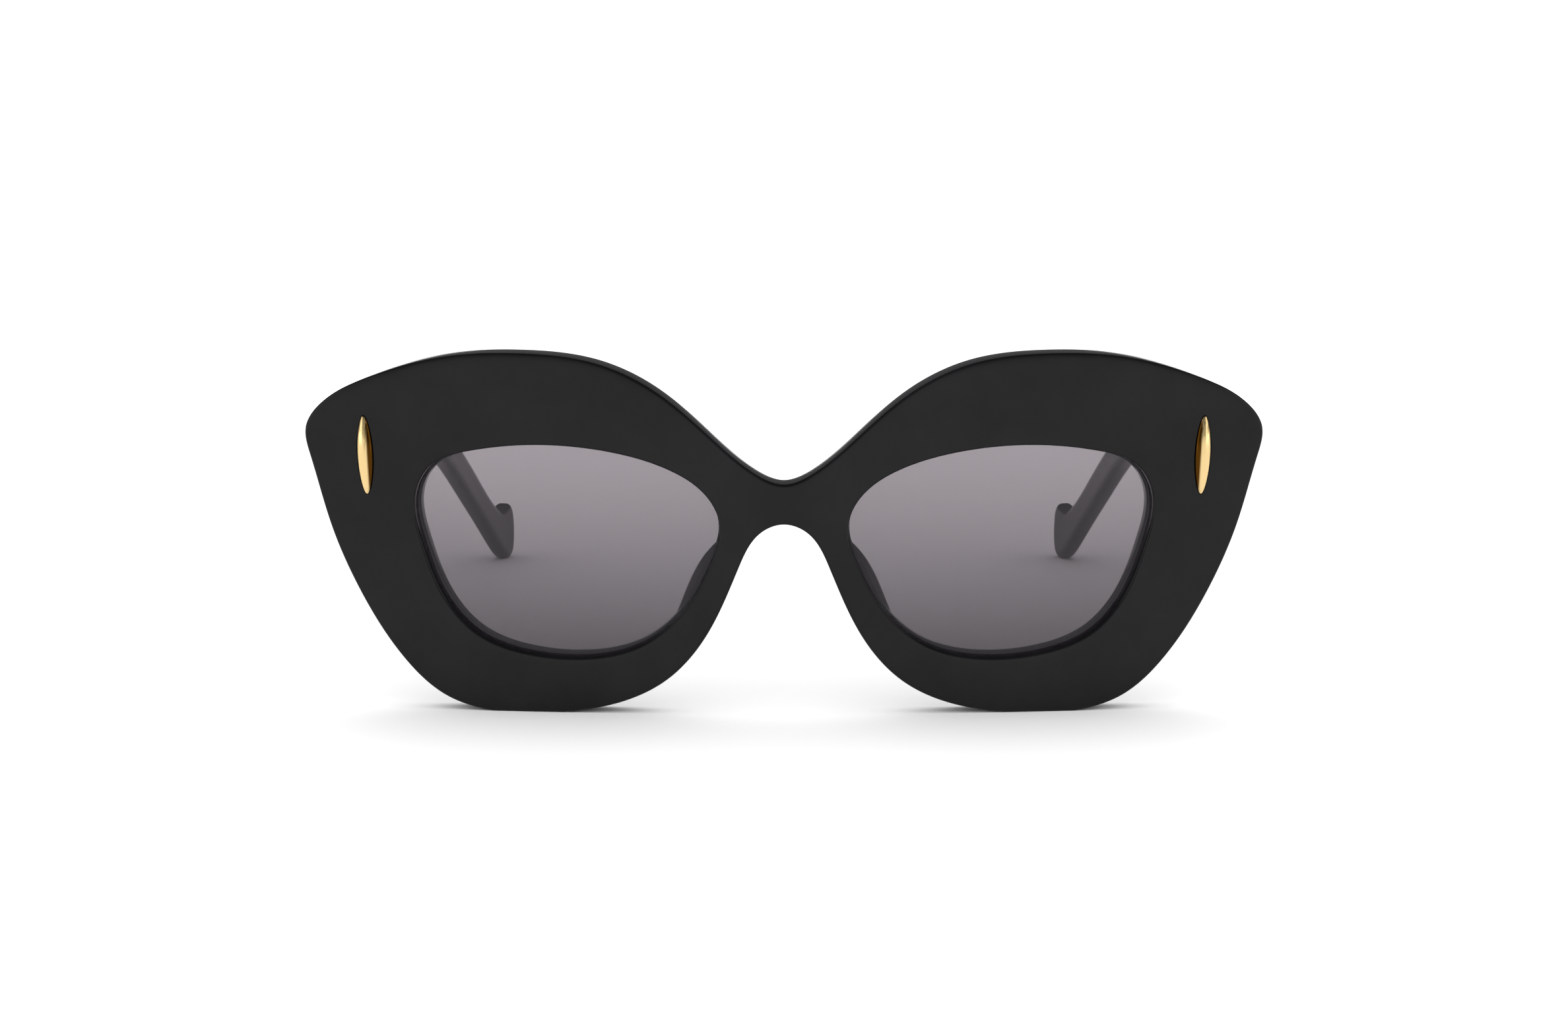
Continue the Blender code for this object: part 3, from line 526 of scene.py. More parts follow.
class Shader(Nodes):
    """A material with a Principled surface."""

    def __init__(self, name, roughness=0.5, metallic=0.0, colour=(0.5, 0.5, 0.5)):
        self.material = bpy.data.materials.new(name)
        self.material.use_nodes = True
        super().__init__(self.material.node_tree)
        self.surface = self.tree.nodes["Principled BSDF"]
        self.result = self.tree.nodes["Material Output"].inputs["Surface"]
        self.set("Base Color", colour)
        self.set("Roughness", roughness)
        self.set("Metallic", metallic)

    def set(self, name, value):
        self.feed(self.surface.inputs[name], value)

    def blend_surface(self, factor, other):
        """Shows the surface, or another shader to the extent of factor."""
        surface = Value(self, self.surface.outputs[0])
        mixed = self.node("ShaderNodeMixShader", {}, {0: factor, 1: surface, 2: other})
        self.feed(self.result, mixed)

    def place(self):
        """The point in the row frame at rest, in millimetres."""
        point = self.node("ShaderNodeTexCoord", output="Object")
        return self.stretch(point, (1 / MM,) * 3)

    def stretch(self, vector, factors):
        return self.node("ShaderNodeVectorMath", {"operation": "MULTIPLY"}, {0: vector, 1: factors})

    def noise(self, vector, scale, detail=2.0, roughness=0.5):
        """Noise with scale features to the millimetre."""
        return self.node("ShaderNodeTexNoise", {}, {"Vector": vector, "Scale": scale,
                         "Detail": detail, "Roughness": roughness}, output="Fac")

    def mix(self, factor, first, second):
        """A colour between two colours."""
        return self.node("ShaderNodeMix", {"data_type": "RGBA"}, {0: factor, 6: first, 7: second},
                         output=2)

    def bump(self, height, distance_mm):
        """Relief on the surface, from a height between 0 and 1."""
        normal = self.node("ShaderNodeBump", {}, {"Height": height, "Strength": 1.0,
                           "Distance": distance_mm * MM}, output="Normal")
        self.set("Normal", normal)


def buffed_acetate():
    """Buffed cellulose acetate: faint cloudiness in the sheet, polishing haze and hairlines."""
    look = bpy.context.scene.glasses_acetate
    shader = Shader("buffed_acetate")
    shader.surface.inputs["IOR"].default_value = 1.49
    shader.surface.inputs["Specular IOR Level"].default_value = 0.18
    place = shader.place()
    cloud = shader.ranged(shader.noise(place, 0.09, detail=4.0, roughness=0.6), 0.35, 0.7)
    shader.set("Base Color", shader.mix(cloud, tuple(look.base), tuple(look.cloud)))
    haze = shader.ranged(shader.noise(place, 0.16, detail=3.0), 0.38, 0.72)
    hairline = shader.noise(shader.stretch(place, (0.4, 0.4, 3.5)), 1.2, roughness=0.6)
    hairline = shader.ranged(hairline, 0.60, 0.80)
    shader.set("Roughness", look.roughness + haze * 0.05 + hairline * 0.05)
    peel = shader.noise(place, 0.35, detail=1.0)
    shader.bump(peel - hairline * 0.02, distance_mm=0.007)
    return shader.material


def smoke_lens():
    """Tinted nylon: each face takes its share of the light, and painted shade makes it take more
    towards the bottom.
    """
    look = bpy.context.scene.glasses_lens
    low, high = (corner.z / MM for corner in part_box("left_lens"))
    shader = Shader("smoke_lens", colour=tuple(look.tint))
    shader.surface.inputs["IOR"].default_value = 1.53
    shader.surface.inputs["Specular IOR Level"].default_value = 0.3
    place = shader.place()
    height = shader.ranged(shader.axis(place, 2), low, high)
    # Painted shade: the lens stops more light lower down, so it darkens towards the bottom
    shade = (1 - height) ** 1.35
    density_and_painted_shade = shade * (look.bottom_density_and_painted_shade - look.top_density) + look.top_density
    streak = shader.noise(shader.stretch(place, (0.06, 0.06, 0.9)), 1.0)
    smear = shader.ranged(shader.noise(place, 0.14, detail=4.0, roughness=0.6), 0.5, 0.8)
    shader.set("Roughness", 0.03 + smear * 0.05)
    through = shader.node("ShaderNodeBsdfTransparent", {}, {"Color": tuple(look.passes)})
    shader.blend_surface(1 - density_and_painted_shade - (streak - 0.5) * 0.006, through)
    return shader.material


def buffed_gold():
    """Buffed gold plate, with painted dark reflections: darker gold towards the inner edge and in
    lengthwise streaks over the upper part.
    """
    look = bpy.context.scene.glasses_metal
    shader = Shader("buffed_gold", metallic=1.0)
    place = shader.place()
    side = shader.node("ShaderNodeMath", {"operation": "ABSOLUTE"}, {0: shader.axis(place, 0)})
    height = shader.axis(place, 2)
    across = side - (height - PLAQUE_Z) * math.tan(PLAQUE_LEAN)
    # Painted dark reflection: the plaque's inner edge is coloured darker gold, standing in for the
    # dark room that it reflects
    inner = shader.ranged(across, PLAQUE_X - 0.2, PLAQUE_X - 0.5)
    # Painted dark reflections: lengthwise streaks of darker gold over the upper part of the plaque
    painted_streaks = shader.noise(shader.stretch(place, (5.5, 5.5, 0.22)), 1.0, roughness=0.6)
    upper = shader.ranged(height, PLAQUE_Z - 0.5, PLAQUE_Z + 3.0)
    painted_reflection_mask = inner + shader.ranged(painted_streaks, 0.52, 0.62) * upper * 0.55
    shader.set("Base Color", shader.mix(shader.ranged(painted_reflection_mask, 0.0, 1.0), tuple(look.gold),
                                        tuple(look.painted_shade_gold)))
    lines = shader.noise(shader.stretch(place, (9.0, 9.0, 0.25)), 1.0, detail=3.0, roughness=0.6)
    shader.set("Roughness", 0.10 + lines * 0.10)
    shader.bump(lines, distance_mm=0.004)
    return shader.material


def drawn_metal(name, colour, roughness, grain, depth_mm):
    """Hinge and screw metal: grain along one direction, with tarnish in patches."""
    shader = Shader(name, metallic=1.0)
    place = shader.place()
    lines = shader.noise(shader.stretch(place, grain), 1.0, detail=4.0, roughness=0.6)
    tarnish = shader.ranged(shader.noise(place, 0.9, detail=3.0, roughness=0.6), 0.45, 0.8)
    dull = tuple(0.55 * level for level in colour)
    shader.set("Base Color", shader.mix(tarnish * 0.6 + lines * 0.15, tuple(colour), dull))
    shader.set("Roughness", roughness + lines * 0.12 + tarnish * 0.1)
    shader.bump(lines, depth_mm)
    return shader.material


def material(name):
    """A finish by name, made the first time that it is asked for."""
    metals = bpy.context.scene.glasses_metal
    acetate_and_plate = {
        "buffed_acetate": buffed_acetate,
        "smoke_lens": smoke_lens,
        "buffed_gold": buffed_gold,
    }
    drawn = {  # colour, roughness, grain to the millimetre along x, y, z, and its depth
        "nickel_silver": (metals.nickel, 0.2, (3, 3, 14), 0.006),
        "turned_steel": (metals.steel, 0.22, (6, 6, 6), 0.004),
        "drawn_wire": (metals.steel, 0.3, (9, 1, 9), 0.006),
    }
    if name not in FINISHES:
        made = drawn_metal(name, *drawn[name]) if name in drawn else acetate_and_plate[name]()
        FINISHES[name] = made
    return FINISHES[name]


# ---------------------------------------------------------------- front

def opening_stations(angles):
    """Points and normals of the lens opening in these directions from its centre."""
    loop = smooth_loop(OPENING, OPENING_STATIONS, turns_weight=0.0)
    normals = outward_normals(loop)
    centre = np.array(OPENING_CENTRE)
    around = np.arctan2(loop[:, 1] - centre[1], loop[:, 0] - centre[0])
    order = np.argsort(around)
    columns = np.hstack([loop, normals])[order]
    found = [np.interp(angles, around[order], columns[:, k], period=2 * math.pi)
             for k in range(4)]
    return np.column_stack(found[:2]), np.column_stack(found[2:])


def half_outline():
    """Points and outward normals of the front's outline at x >= 0, top of the bridge first."""
    mirrored = [(-x, z) for x, z in reversed(OUTLINE_HALF[1:-1])]
    loop = smooth_loop([*OUTLINE_HALF, *mirrored], front_settings().sections)
    normals = outward_normals(loop)
    under_bridge = loop[:, 1] < (OUTLINE_HALF[0][1] + OUTLINE_HALF[-1][1]) / 2
    low = int(np.argmin(np.where(under_bridge, np.abs(loop[:, 0]), np.inf)))
    half, facing = loop[: low + 1], normals[: low + 1]
    half[[0, -1], 0] = 0.0
    facing[0], facing[-1] = (0, 1), (0, -1)
    half[:, 1] = np.maximum(half[:, 1], 0.0)
    return half, facing


def edge_arc(start, end, lip=0.0, steps=6):
    """Offsets into the material and depths of a rounded edge, from the face to the wall."""
    radius = abs(end - start)
    turns = np.linspace(0, QUARTER, steps + 1)
    return [(radius * (1 - math.sin(t)) - lip, start + (end - start) * (1 - math.cos(t)))
            for t in turns]


def front_rows(across=9):
    """The front's section as rows of (part of the section, offset or share, depth)."""
    deep, edge = front_settings().thickness, front_settings().edge_round
    groove = LENS_THICKNESS / 2 + LENS_GAP
    apex = LENS_BEVEL + LENS_GAP
    inner = edge_arc(deep, deep - edge, REAR_LIP)
    inner += [(-REAR_LIP, LENS_DEPTH + groove), (0, LENS_DEPTH + groove),
              (apex, LENS_DEPTH + groove - apex), (apex, LENS_DEPTH - groove + apex),
              (0, LENS_DEPTH - groove)]
    inner += edge_arc(0, edge)[::-1]
    outer = edge_arc(0, edge) + edge_arc(deep, deep - edge)[::-1]
    rows = [("opening", offset, depth) for offset, depth in inner]
    rows += [("face", i / across, 0.0) for i in range(1, across)]
    rows += [("outline", offset, depth) for offset, depth in outer]
    rows += [("face", 1 - i / across, deep) for i in range(1, across)]
    return rows


def front_edge(down=14):
    """The face's edge, inside the rounded outline, closed by points down the middle plane."""
    outline, facing = half_outline()
    rim = outline - facing * front_settings().edge_round
    middle = np.linspace(rim[-1, 1], rim[0, 1], down)[1:-1]
    return np.vstack([rim, [(0, z) for z in middle]])


def front_half():
    """Lofts the section round the opening, open at x = 0 where the other half joins."""
    outline, facing = half_outline()
    rows = front_rows()
    deep = front_settings().thickness
    face_edge = front_edge()
    away = face_edge - np.array(OPENING_CENTRE)
    opening, opening_facing = opening_stations(np.arctan2(away[:, 1], away[:, 0]))
    bm = bmesh.new()
    grid = []
    for j, edge_point in enumerate(face_edge):
        on_outline = j < len(outline)
        edge = front_settings().edge_round
        column = []
        for part, offset, depth in rows:
            if part == "opening":
                flat = opening[j] + opening_facing[j] * offset
            elif part == "outline":
                flat = outline[j] - facing[j] * offset if on_outline else edge_point
            else:
                start = opening[j] + opening_facing[j] * (edge if depth == 0 else edge - REAR_LIP)
                flat = start + (edge_point - start) * offset
            wall = part == "outline" and not on_outline and 0 < depth < deep
            column.append(None if wall else bm.verts.new(bent(flat[0], flat[1], depth)))
        grid.append(column)
    for column, beside in zip(grid, grid[1:] + grid[:1]):
        for i in range(len(rows)):
            corners = (column[i], column[i - 1], beside[i - 1], beside[i])
            if None not in corners:
                bm.faces.new(corners)
    bmesh.ops.recalc_face_normals(bm, faces=bm.faces)
    return bm


def both_sides(bm):
    """Adds a solid's mirror image to it."""
    twin = bm.copy()
    bmesh.ops.scale(twin, vec=(-1, 1, 1), verts=twin.verts)
    bmesh.ops.reverse_faces(twin, faces=twin.faces)
    mesh = mesh_from(twin, "twin")
    bm.from_mesh(mesh)
    bpy.data.meshes.remove(mesh)
    return bm


def whole_front():
    """The two halves of the front, joined where both are open at x = 0."""
    bm = both_sides(front_half())
    seam = [vert for vert in bm.verts if abs(vert.co.x) < 1e-4]
    bmesh.ops.remove_doubles(bm, verts=seam, dist=1e-3)
    return bm


def lug():
    """The block behind a corner of the front, up to the butt joint."""
    inside = bent(LUG_X, 0, front_settings().thickness).y - LUG_ROOT
    depth = HINGE.y - inside
    place = at(LUG_X, inside + depth / 2, HINGE.z)
    return box((LUG_WIDTH, depth, LUG_HEIGHT), place, LUG_CORNER, upright=1)


def leaf_seat(size, place):
    """The recess for a hinge leaf, with clearance on every side."""
    return box([side + 2 * LEAF_GAP for side in size], place)


def plaque_seat():
    return loft([plaque_ring(1, depth, PLAQUE_GAP)
                 for depth in (PLAQUE_SUNK + PLAQUE_GAP, -1.0)])


def front_leaf_frame():
    """Axes on the front's rear face at the middle of the front leaf: y points rearward."""
    place = bent(FRONT_LEAF_X, HINGE.z, front_settings().thickness)
    return Matrix.Translation(place) @ bent_turn(FRONT_LEAF_X)


def temple_leaf_frame():
    """Axes on the temple's inner face at the middle of the temple leaf: -x points inboard."""
    middle = TEMPLE_LEAF_START + TEMPLE_LEAF_LENGTH / 2
    return at(TEMPLE_X - TEMPLE_THICKNESS / 2, middle, HINGE.z)


class GLASSES_OT_front(bpy.types.Operator):
    """Build the acetate front with its lens grooves, lugs, plaque seats and hinge seats"""
    bl_idname = "glasses.front"
    bl_label = "Front"

    def execute(self, context):
        bench = Bench(whole_front(), "front_finished")
        bench.join(both_sides(lug()))
        bench.cut(both_sides(plaque_seat()))
        size = (FRONT_LEAF_LENGTH, 2 * LEAF_THICKNESS, LEAF_HEIGHT)
        bench.cut(both_sides(leaf_seat(size, front_leaf_frame())))
        bench.finish(material("buffed_acetate"), "front", "black_acetate", "front_frame", sharp=30)
        return {"FINISHED"}


# ---------------------------------------------------------------- lenses, plaques, pads

class GLASSES_OT_lenses(bpy.types.Operator):
    """Build the tinted lenses, each bevelled to its groove and slightly domed"""
    bl_idname = "glasses.lenses"
    bl_label = "Lenses"

    def execute(self, context):
        angles = np.linspace(-math.pi, math.pi, LENS_SECTIONS, endpoint=False)
        opening, facing = opening_stations(angles)
        centre = np.array(OPENING_CENTRE)
        bulge = context.scene.glasses_lens.bulge
        half = LENS_THICKNESS / 2
        rings = []

        def ring(flat, depth, rise):
            rings.append([bent(x, z, LENS_DEPTH + depth - rise * bulge) for x, z in flat])

        for shrink in LENS_STEPS_IN[::-1]:
            ring(centre + (opening - centre) * (1 - shrink), -half, 1 - (1 - shrink) ** 2)
        ring(opening + facing * LENS_BEVEL, LENS_BEVEL - half, 0)
        ring(opening + facing * LENS_BEVEL, half - LENS_BEVEL, 0)
        for shrink in LENS_STEPS_IN:
            ring(centre + (opening - centre) * (1 - shrink), half, 1 - (1 - shrink) ** 2)
        bench = Bench(loft(rings), "lens")
        bench.finish_pair("lens", material("smoke_lens"), "lens_tint", sharp=25)
        return {"FINISHED"}


def plaque_ring(size, depth, grow=0.0, sides=96):
    """A ring of the plaque's pointed oval, shrunk to a share of its size, at a depth."""
    look = bpy.context.scene.glasses_metal
    place = Matrix.Translation(bent(PLAQUE_X, PLAQUE_Z, 0)) @ bent_turn(PLAQUE_X)
    place @= Matrix.Rotation(PLAQUE_LEAN, 4, "Y")
    ring = []
    for turn in np.arange(sides) / sides * 2 * math.pi:
        slim = 1 - PLAQUE_POINTED * math.sin(turn) ** 2
        x = size * (look.plaque_width / 2 + grow) * math.cos(turn) * slim
        z = size * (look.plaque_height / 2 + grow) * math.sin(turn)
        ring.append(place @ Vector((x, depth, z)))
    return ring


class GLASSES_OT_plaques(bpy.types.Operator):
    """Build the domed gold plaques that are let into the corners of the front"""
    bl_idname = "glasses.plaques"
    bl_label = "Plaques"

    def execute(self, context):
        dome = context.scene.glasses_metal.plaque_dome
        turns = np.linspace(0, QUARTER, PLAQUE_STEPS)[:-1]
        rings = [plaque_ring(1, PLAQUE_SUNK)]
        rings += [plaque_ring(math.cos(t), -dome * math.sin(t)) for t in turns]
        bench = Bench(loft(rings), "plaque")
        bench.finish_pair("plaque", material("buffed_gold"), "polished_gold", sharp=50)
        return {"FINISHED"}


class GLASSES_OT_nose_pads(bpy.types.Operator):
    """Build the nose pads, which swell out of the rear of the rims and flare outwards"""
    bl_idname = "glasses.nose_pads"
    bl_label = "Nose pads"

    def execute(self, context):
        start = front_settings().thickness - PAD_SUNK
        knots = np.array(PAD_PATH)
        run = np.linspace(0, 1, PAD_SECTIONS)
        at_knots = np.linspace(0, 1, len(knots))
        path = np.column_stack([np.polyval(np.polyfit(at_knots, knots[:, k], 3), run)
                                for k in (0, 1)])
        along = np.gradient(path, axis=0)
        across = np.column_stack([-along[:, 1], along[:, 0]])
        across /= np.linalg.norm(across, axis=1)[:, None]
        rings = []
        for share_along, point, side in zip(run, path, across):
            swell = max(0.0, math.sin(math.pi * share_along))
            width = PAD_END + PAD_SWELL * swell ** 0.4
            height = PAD_SUNK + PAD_REACH * swell ** 1.2
            ring = []
            for turn in np.linspace(0, math.pi, PAD_RING):
                out = width * math.cos(turn)
                back = height * math.sin(turn) ** 0.8
                flare = PAD_FLARE * back * (1 - PAD_FLARE_EASES * back / PAD_REACH)
                flat = point - side * out + np.array([flare, 0])
                ring.append(bent(flat[0], flat[1], start + back))
            rings.append(ring)
        bench = Bench(loft(rings), "nose_pad")
        bench.finish_pair("nose_pad", material("buffed_acetate"), "black_acetate", sharp=60)
        return {"FINISHED"}


# ---------------------------------------------------------------- hinges and screws

def knuckles(levels, degrees, corners):
    """Knuckles round the hinge's axis, each reaching from an arc to the corners of its web."""
    bm = bmesh.new()
    arc = [(KNUCKLE_RADIUS * math.cos(turn), KNUCKLE_RADIUS * math.sin(turn))
           for turn in np.radians(np.linspace(*degrees, 41))]
    for level in levels:
        bottom = HINGE.z - LEAF_HEIGHT / 2 + level * (KNUCKLE_HEIGHT + KNUCKLE_GAP)
        one = loft([[(HINGE.x + x, HINGE.y + y, z) for x, y in [*arc, *corners]]
                    for z in (bottom, bottom + KNUCKLE_HEIGHT)])
        mesh = mesh_from(one, "knuckle")
        bm.from_mesh(mesh)
        bpy.data.meshes.remove(mesh)
    return bm


def screw_places(leaf, along, turn):
    """Places of a leaf's upper and lower screw, each with +z out of the leaf."""
    for height, sign in (("upper", 1), ("lower", -1)):
        yield height, leaf @ along @ at(0, 0, sign * LEAF_SCREW_SPREAD) @ turn


def front_screws():
    turn = Matrix.Rotation(-QUARTER, 4, "X")
    return screw_places(front_leaf_frame(), at(FRONT_SCREWS_ALONG, 0, 0), turn)


def temple_screws():
    turn = Matrix.Rotation(-QUARTER, 4, "Y")
    return screw_places(temple_leaf_frame(), at(0, TEMPLE_SCREWS_ALONG, 0), turn)


class GLASSES_OT_hinges(bpy.types.Operator):
    """Build the front and temple halves of the five-knuckle hinges"""
    bl_idname = "glasses.hinges"
    bl_label = "Hinges"

    def build(self, kind, leaf, webs, screws, arm):
        bench = Bench(leaf, kind)
        bench.join(webs)
        axis = at(HINGE.x, HINGE.y, HINGE.z)
        bench.cut(post(BORE_RADIUS, -LEAF_HEIGHT, LEAF_HEIGHT, axis))
        for _, place in screws:
            bench.cut(turned(COUNTERSINK, place))
        bench.soften(LEAF_SOFTENING)
        bench.finish_pair(kind, material("nickel_silver"), "hinge_metal", arm)

    def execute(self, context):
        size = (FRONT_LEAF_LENGTH, LEAF_THICKNESS, LEAF_HEIGHT)
        place = front_leaf_frame() @ at(0, -LEAF_THICKNESS / 2, 0)
        webs = knuckles(range(0, KNUCKLES, 2), FRONT_KNUCKLE_ARC, FRONT_WEB)
        self.build("front_hinge", box(size, place), webs, front_screws(), False)
        size = (LEAF_THICKNESS, TEMPLE_LEAF_LENGTH, LEAF_HEIGHT)
        place = temple_leaf_frame() @ at(LEAF_THICKNESS / 2, 0, 0)
        webs = knuckles(range(1, KNUCKLES, 2), TEMPLE_KNUCKLE_ARC, TEMPLE_WEB)
        self.build("temple_hinge", box(size, place), webs, temple_screws(), True)
        return {"FINISHED"}


class GLASSES_OT_screws(bpy.types.Operator):
    """Build the slotted pivot screws and the cross-recessed leaf screws"""
    bl_idname = "glasses.screws"
    bl_label = "Screws"

    def build(self, kind, head, shank, tip, place, slots, arm):
        """head is (radius, low, high) and tip the height of the point; slots are angles."""
        radius, low, high = head
        crown = [(radius * math.cos(turn), high - HEAD_CROWN * (1 - math.sin(turn)))
                 for turn in np.linspace(0, CROWN_TURN, 7)]
        profile = [(0.5 * shank, tip), (shank, tip + SCREW_POINT), (shank, low),
                   (radius - HEAD_CHAMFER, low), (radius, low + HEAD_CHAMFER), *crown]
        bench = Bench(turned(profile, place), kind)
        reach = 2.6 * radius if len(slots) == 1 else 1.2 * radius
        for turn in slots:
            blade = place @ at(0, 0, high) @ Matrix.Rotation(turn, 4, "Z")
            bench.cut(box((reach, SLOT_WIDTH, 2 * SLOT_DEPTH), blade))
        bench.finish_pair(kind, material("turned_steel"), "screw_steel", arm)

    def execute(self, context):
        top = LEAF_HEIGHT / 2 + KNUCKLE_GAP
        axis = at(HINGE.x, HINGE.y, HINGE.z)
        head = (PIVOT_HEAD_RADIUS, top, top + PIVOT_HEAD_HEIGHT)
        self.build("hinge_screw", head, PIVOT_RADIUS, -LEAF_HEIGHT / 2, axis, PIVOT_SLOT, False)
        head = (LEAF_HEAD_RADIUS, KNUCKLE_GAP, KNUCKLE_GAP + LEAF_HEAD_HEIGHT)
        for part, places, arm in (("front", front_screws(), False),
                                  ("temple", temple_screws(), True)):
            for height, place in places:
                self.build(f"{part}_leaf_screw_{height}", head, LEAF_SCREW_RADIUS,
                           -LEAF_SCREW_LENGTH, place, LEAF_SCREW_CROSS, arm)
        return {"FINISHED"}


# ---------------------------------------------------------------- temples

def slab_from_outline(loop, half_thickness, edge_round, edge_steps):
    """A slab in its own x, y plane from a filled 2D curve, with rounded edges."""
    curve = bpy.data.curves.new("outline", "CURVE")
    curve.dimensions = "2D"
    curve.fill_mode = "BOTH"
    curve.extrude = half_thickness - edge_round
    curve.bevel_depth = edge_round
    curve.bevel_resolution = edge_steps
    curve.offset = -edge_round
    spline = curve.splines.new("POLY")
    spline.points.add(len(loop) - 1)
    for point, (x, y) in zip(spline.points, loop):
        point.co = (x, y, 0, 1)
    spline.use_cyclic_u = True
    holder = bpy.data.objects.new("outline", curve)
    bpy.context.scene.collection.objects.link(holder)
    graph = bpy.context.evaluated_depsgraph_get()
    mesh = bpy.data.meshes.new_from_object(holder.evaluated_get(graph))
    bm = bmesh.new()
    bm.from_mesh(mesh)
    bmesh.ops.remove_doubles(bm, verts=bm.verts, dist=0.001)
    bmesh.ops.recalc_face_normals(bm, faces=bm.faces)
    bpy.data.objects.remove(holder)
    bpy.data.curves.remove(curve)
    bpy.data.meshes.remove(mesh)
    return bm


def bisect(bm, y, keep_beyond=False):
    """Cuts a temple's slab across at y, and may remove what lies before the cut."""
    return bmesh.ops.bisect_plane(bm, geom=bm.verts[:] + bm.edges[:] + bm.faces[:], dist=0.001,
                                  plane_co=(y, 0, 0), plane_no=(1, 0, 0),
                                  clear_inner=keep_beyond)


class GLASSES_OT_temples(bpy.types.Operator):
    """Build the temples, swept inwards and down to their widened tips, and dress their cores"""
    bl_idname = "glasses.temples"
    bl_label = "Temples"

    def execute(self, context):
        side = smooth_loop(TEMPLE_SIDE, TEMPLE_STATIONS)
        bm = slab_from_outline(side, TEMPLE_THICKNESS / 2, TEMPLE_EDGE_ROUND, TEMPLE_EDGE_STEPS)
        cut = bisect(bm, HINGE.y + BUTT_GAP, keep_beyond=True)
        end = [item for item in cut["geom_cut"] if isinstance(item, bmesh.types.BMEdge)]
        bmesh.ops.contextual_create(bm, geom=end)
        for y in TEMPLE_SLICES:
            bisect(bm, y)
        for vert in bm.verts:
            y, z, across = vert.co
            across *= temple_thickness(y) / TEMPLE_THICKNESS
            slope = temple_middle(y + 0.5) - temple_middle(y - 0.5)
            square = math.hypot(1, slope)
            vert.co = (temple_middle(y) + across / square, y - across * slope / square,
                       max(z, 0.0))
        bmesh.ops.recalc_face_normals(bm, faces=bm.faces)
        bench = Bench(bm, "temple")
        size = (2 * LEAF_THICKNESS, TEMPLE_LEAF_LENGTH + TEMPLE_SEAT_MOUTH, LEAF_HEIGHT)
        bench.cut(leaf_seat(size, temple_leaf_frame() @ at(0, -TEMPLE_SEAT_MOUTH / 2, 0)))
        mouth = at(TEMPLE_X, HINGE.y, self.core_height()) @ Matrix.Rotation(-QUARTER, 4, "X")
        bench.cut(post(CORE_HOLE_RADIUS, -1, CORE_HOLE_DEPTH, mouth))
        bench.finish_pair("temple", material("buffed_acetate"), "black_acetate", True, 30)
        for side_name, _ in SIDES:
            core = frame["nodes"][f"{side_name}_temple_core"]
            core.data.materials.clear()
            core.data.materials.append(material("drawn_wire"))
        return {"FINISHED"}

    def core_height(self):
        """z of the core's front end, read from the packed core."""
        core = frame["nodes"]["left_temple_core"].data
        first = min(vert.co.y for vert in core.vertices)
        ends = [vert.co.z for vert in core.vertices if vert.co.y < first + 0.2 * MM]
        return sum(ends) / len(ends) / MM


# ---------------------------------------------------------------- stage

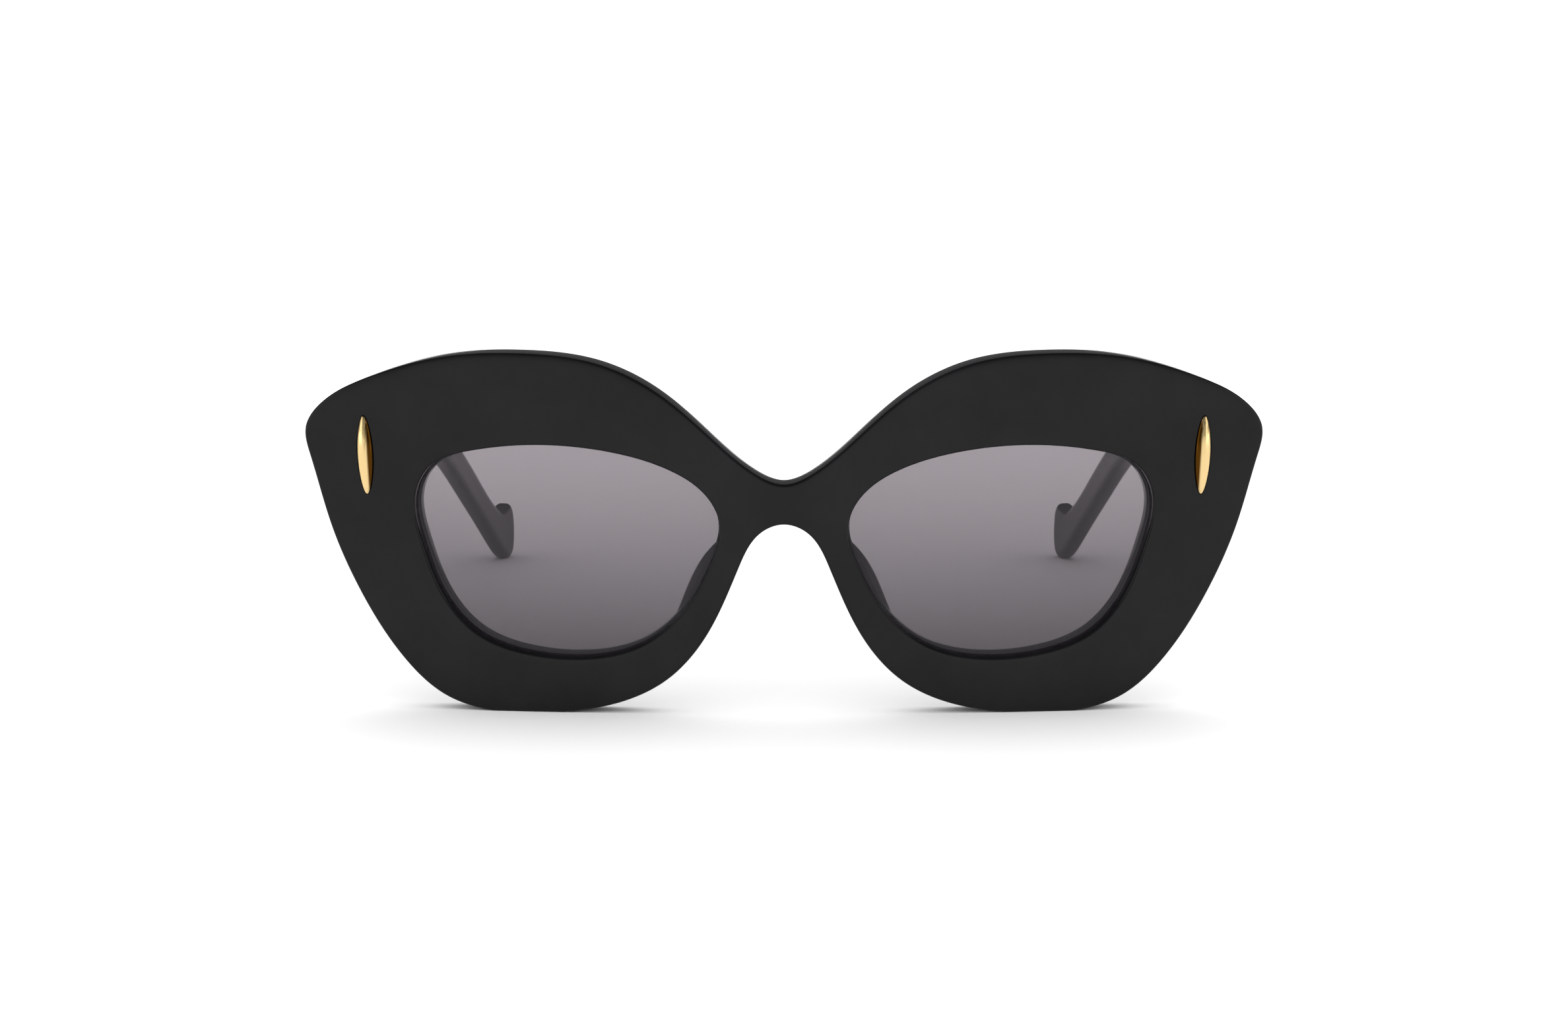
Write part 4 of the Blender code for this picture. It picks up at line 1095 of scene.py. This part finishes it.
class GLASSES_OT_stage(bpy.types.Operator):
    """Lay a pale floor and set soft studio light and the camera"""
    bl_idname = "glasses.stage"
    bl_label = "Stage"

    def floor(self, context):
        bm = bmesh.new()
        bmesh.ops.create_grid(bm, x_segments=1, y_segments=1, size=6.0)
        piece = bpy.data.objects.new("floor", mesh_from(bm, "floor"))
        context.scene.collection.objects.link(piece)
        shader = Shader("pale_floor", 0.9, colour=tuple(context.scene.glasses_stage.floor))
        shader.surface.inputs["Specular IOR Level"].default_value = 0.0
        piece.data.materials.append(shader.material)

    def area(self, context, name, place, aim, size, power, card=False):
        """A soft rectangular light, or a white card that only polished surfaces pick up."""
        light = bpy.data.lights.new(name, "AREA")
        light.shape = "RECTANGLE"
        light.size, light.size_y = size
        light.energy = power
        piece = bpy.data.objects.new(name, light)
        piece.location = place
        piece.rotation_euler = (Vector(aim) - Vector(place)).to_track_quat("-Z", "Y").to_euler()
        piece.visible_camera = False
        piece.visible_glossy = card
        piece.visible_diffuse = not card
        context.scene.collection.objects.link(piece)

    def world(self, context):
        """An even room, which polished surfaces see as darker above and behind."""
        world = bpy.data.worlds.new("room")
        world.use_nodes = True
        world.cycles.sampling_method = "NONE"
        context.scene.world = world
        room = Nodes(world.node_tree)
        ambient = context.scene.glasses_stage.ambient
        direction = room.node("ShaderNodeTexCoord", output="Generated")
        seen = room.ranged(room.axis(direction, 1), -0.7, 0.3, 0.38, 0.12)
        seen = seen * room.ranged(room.axis(direction, 2), 0.3, 0.75, 1.0, 0.1)
        reflected = room.node("ShaderNodeLightPath", output="Is Glossy Ray")
        background = world.node_tree.nodes["Background"]
        background.inputs["Color"].default_value = (1, 1, 1, 1)
        room.feed(background.inputs["Strength"], reflected * (seen - ambient) + ambient)

    def camera(self, context):
        look = context.scene.glasses_stage
        bridge = BRIDGE_Y * MM
        place = Vector((0, bridge - look.distance, look.height))
        aim = Vector((0, bridge, look.aim))
        data = bpy.data.cameras.new("camera")
        data.sensor_width = 36.0
        data.lens = data.sensor_width * (aim - place).length / look.view_width
        data.clip_start = 0.01
        piece = bpy.data.objects.new("camera", data)
        piece.location = place
        piece.rotation_euler = (aim - place).to_track_quat("-Z", "Y").to_euler()
        context.scene.collection.objects.link(piece)
        context.scene.camera = piece

    def execute(self, context):
        context.scene.view_settings.view_transform = "Standard"
        self.floor(context)
        self.world(context)
        self.camera(context)
        bridge = BRIDGE_Y * MM
        self.area(context, "top_light", place=(0, 0.45, 0.75), aim=(0, bridge, 0),
                  size=(0.9, 0.7), power=1.9)
        for side, sign in SIDES:
            self.area(context, f"{side}_card", place=(sign * 0.34, bridge - 0.16, 0.13),
                      aim=(sign * 0.065, bridge, 0.035), size=(0.26, 0.24), power=0.25, card=True)
        return {"FINISHED"}


# ---------------------------------------------------------------- the add-on

class GLASSES_PT_panel(bpy.types.Panel):
    """Lists the pieces and their settings"""
    bl_label = "Cat eye sunglasses"
    bl_idname = "GLASSES_PT_panel"
    bl_space_type = "VIEW_3D"
    bl_region_type = "UI"
    bl_category = "Sunglasses"

    def draw(self, context):
        for operator in OPERATORS:
            self.layout.operator(operator.bl_idname)
        for name, group in SETTINGS.items():
            box_layout = self.layout.box()
            box_layout.label(text=group.__doc__)
            for field in group.__annotations__:
                box_layout.prop(getattr(context.scene, name), field)


OPERATORS = (GLASSES_OT_front, GLASSES_OT_lenses, GLASSES_OT_plaques, GLASSES_OT_nose_pads,
             GLASSES_OT_hinges, GLASSES_OT_screws, GLASSES_OT_temples, GLASSES_OT_stage)
SETTINGS = {
    "glasses_front": FrontSettings,
    "glasses_acetate": AcetateSettings,
    "glasses_lens": LensSettings,
    "glasses_metal": MetalSettings,
    "glasses_stage": StageSettings,
}


def register():
    for item in (*SETTINGS.values(), *OPERATORS, GLASSES_PT_panel):
        bpy.utils.register_class(item)
    for name, group in SETTINGS.items():
        setattr(bpy.types.Scene, name, PointerProperty(type=group))


def unregister():
    for name in SETTINGS:
        delattr(bpy.types.Scene, name)
    for item in reversed((*SETTINGS.values(), *OPERATORS, GLASSES_PT_panel)):
        bpy.utils.unregister_class(item)


def main():
    register()
    for operator in OPERATORS:
        family, name = operator.bl_idname.split(".")
        getattr(getattr(bpy.ops, family), name)()


if __name__ == "__main__":
    main()
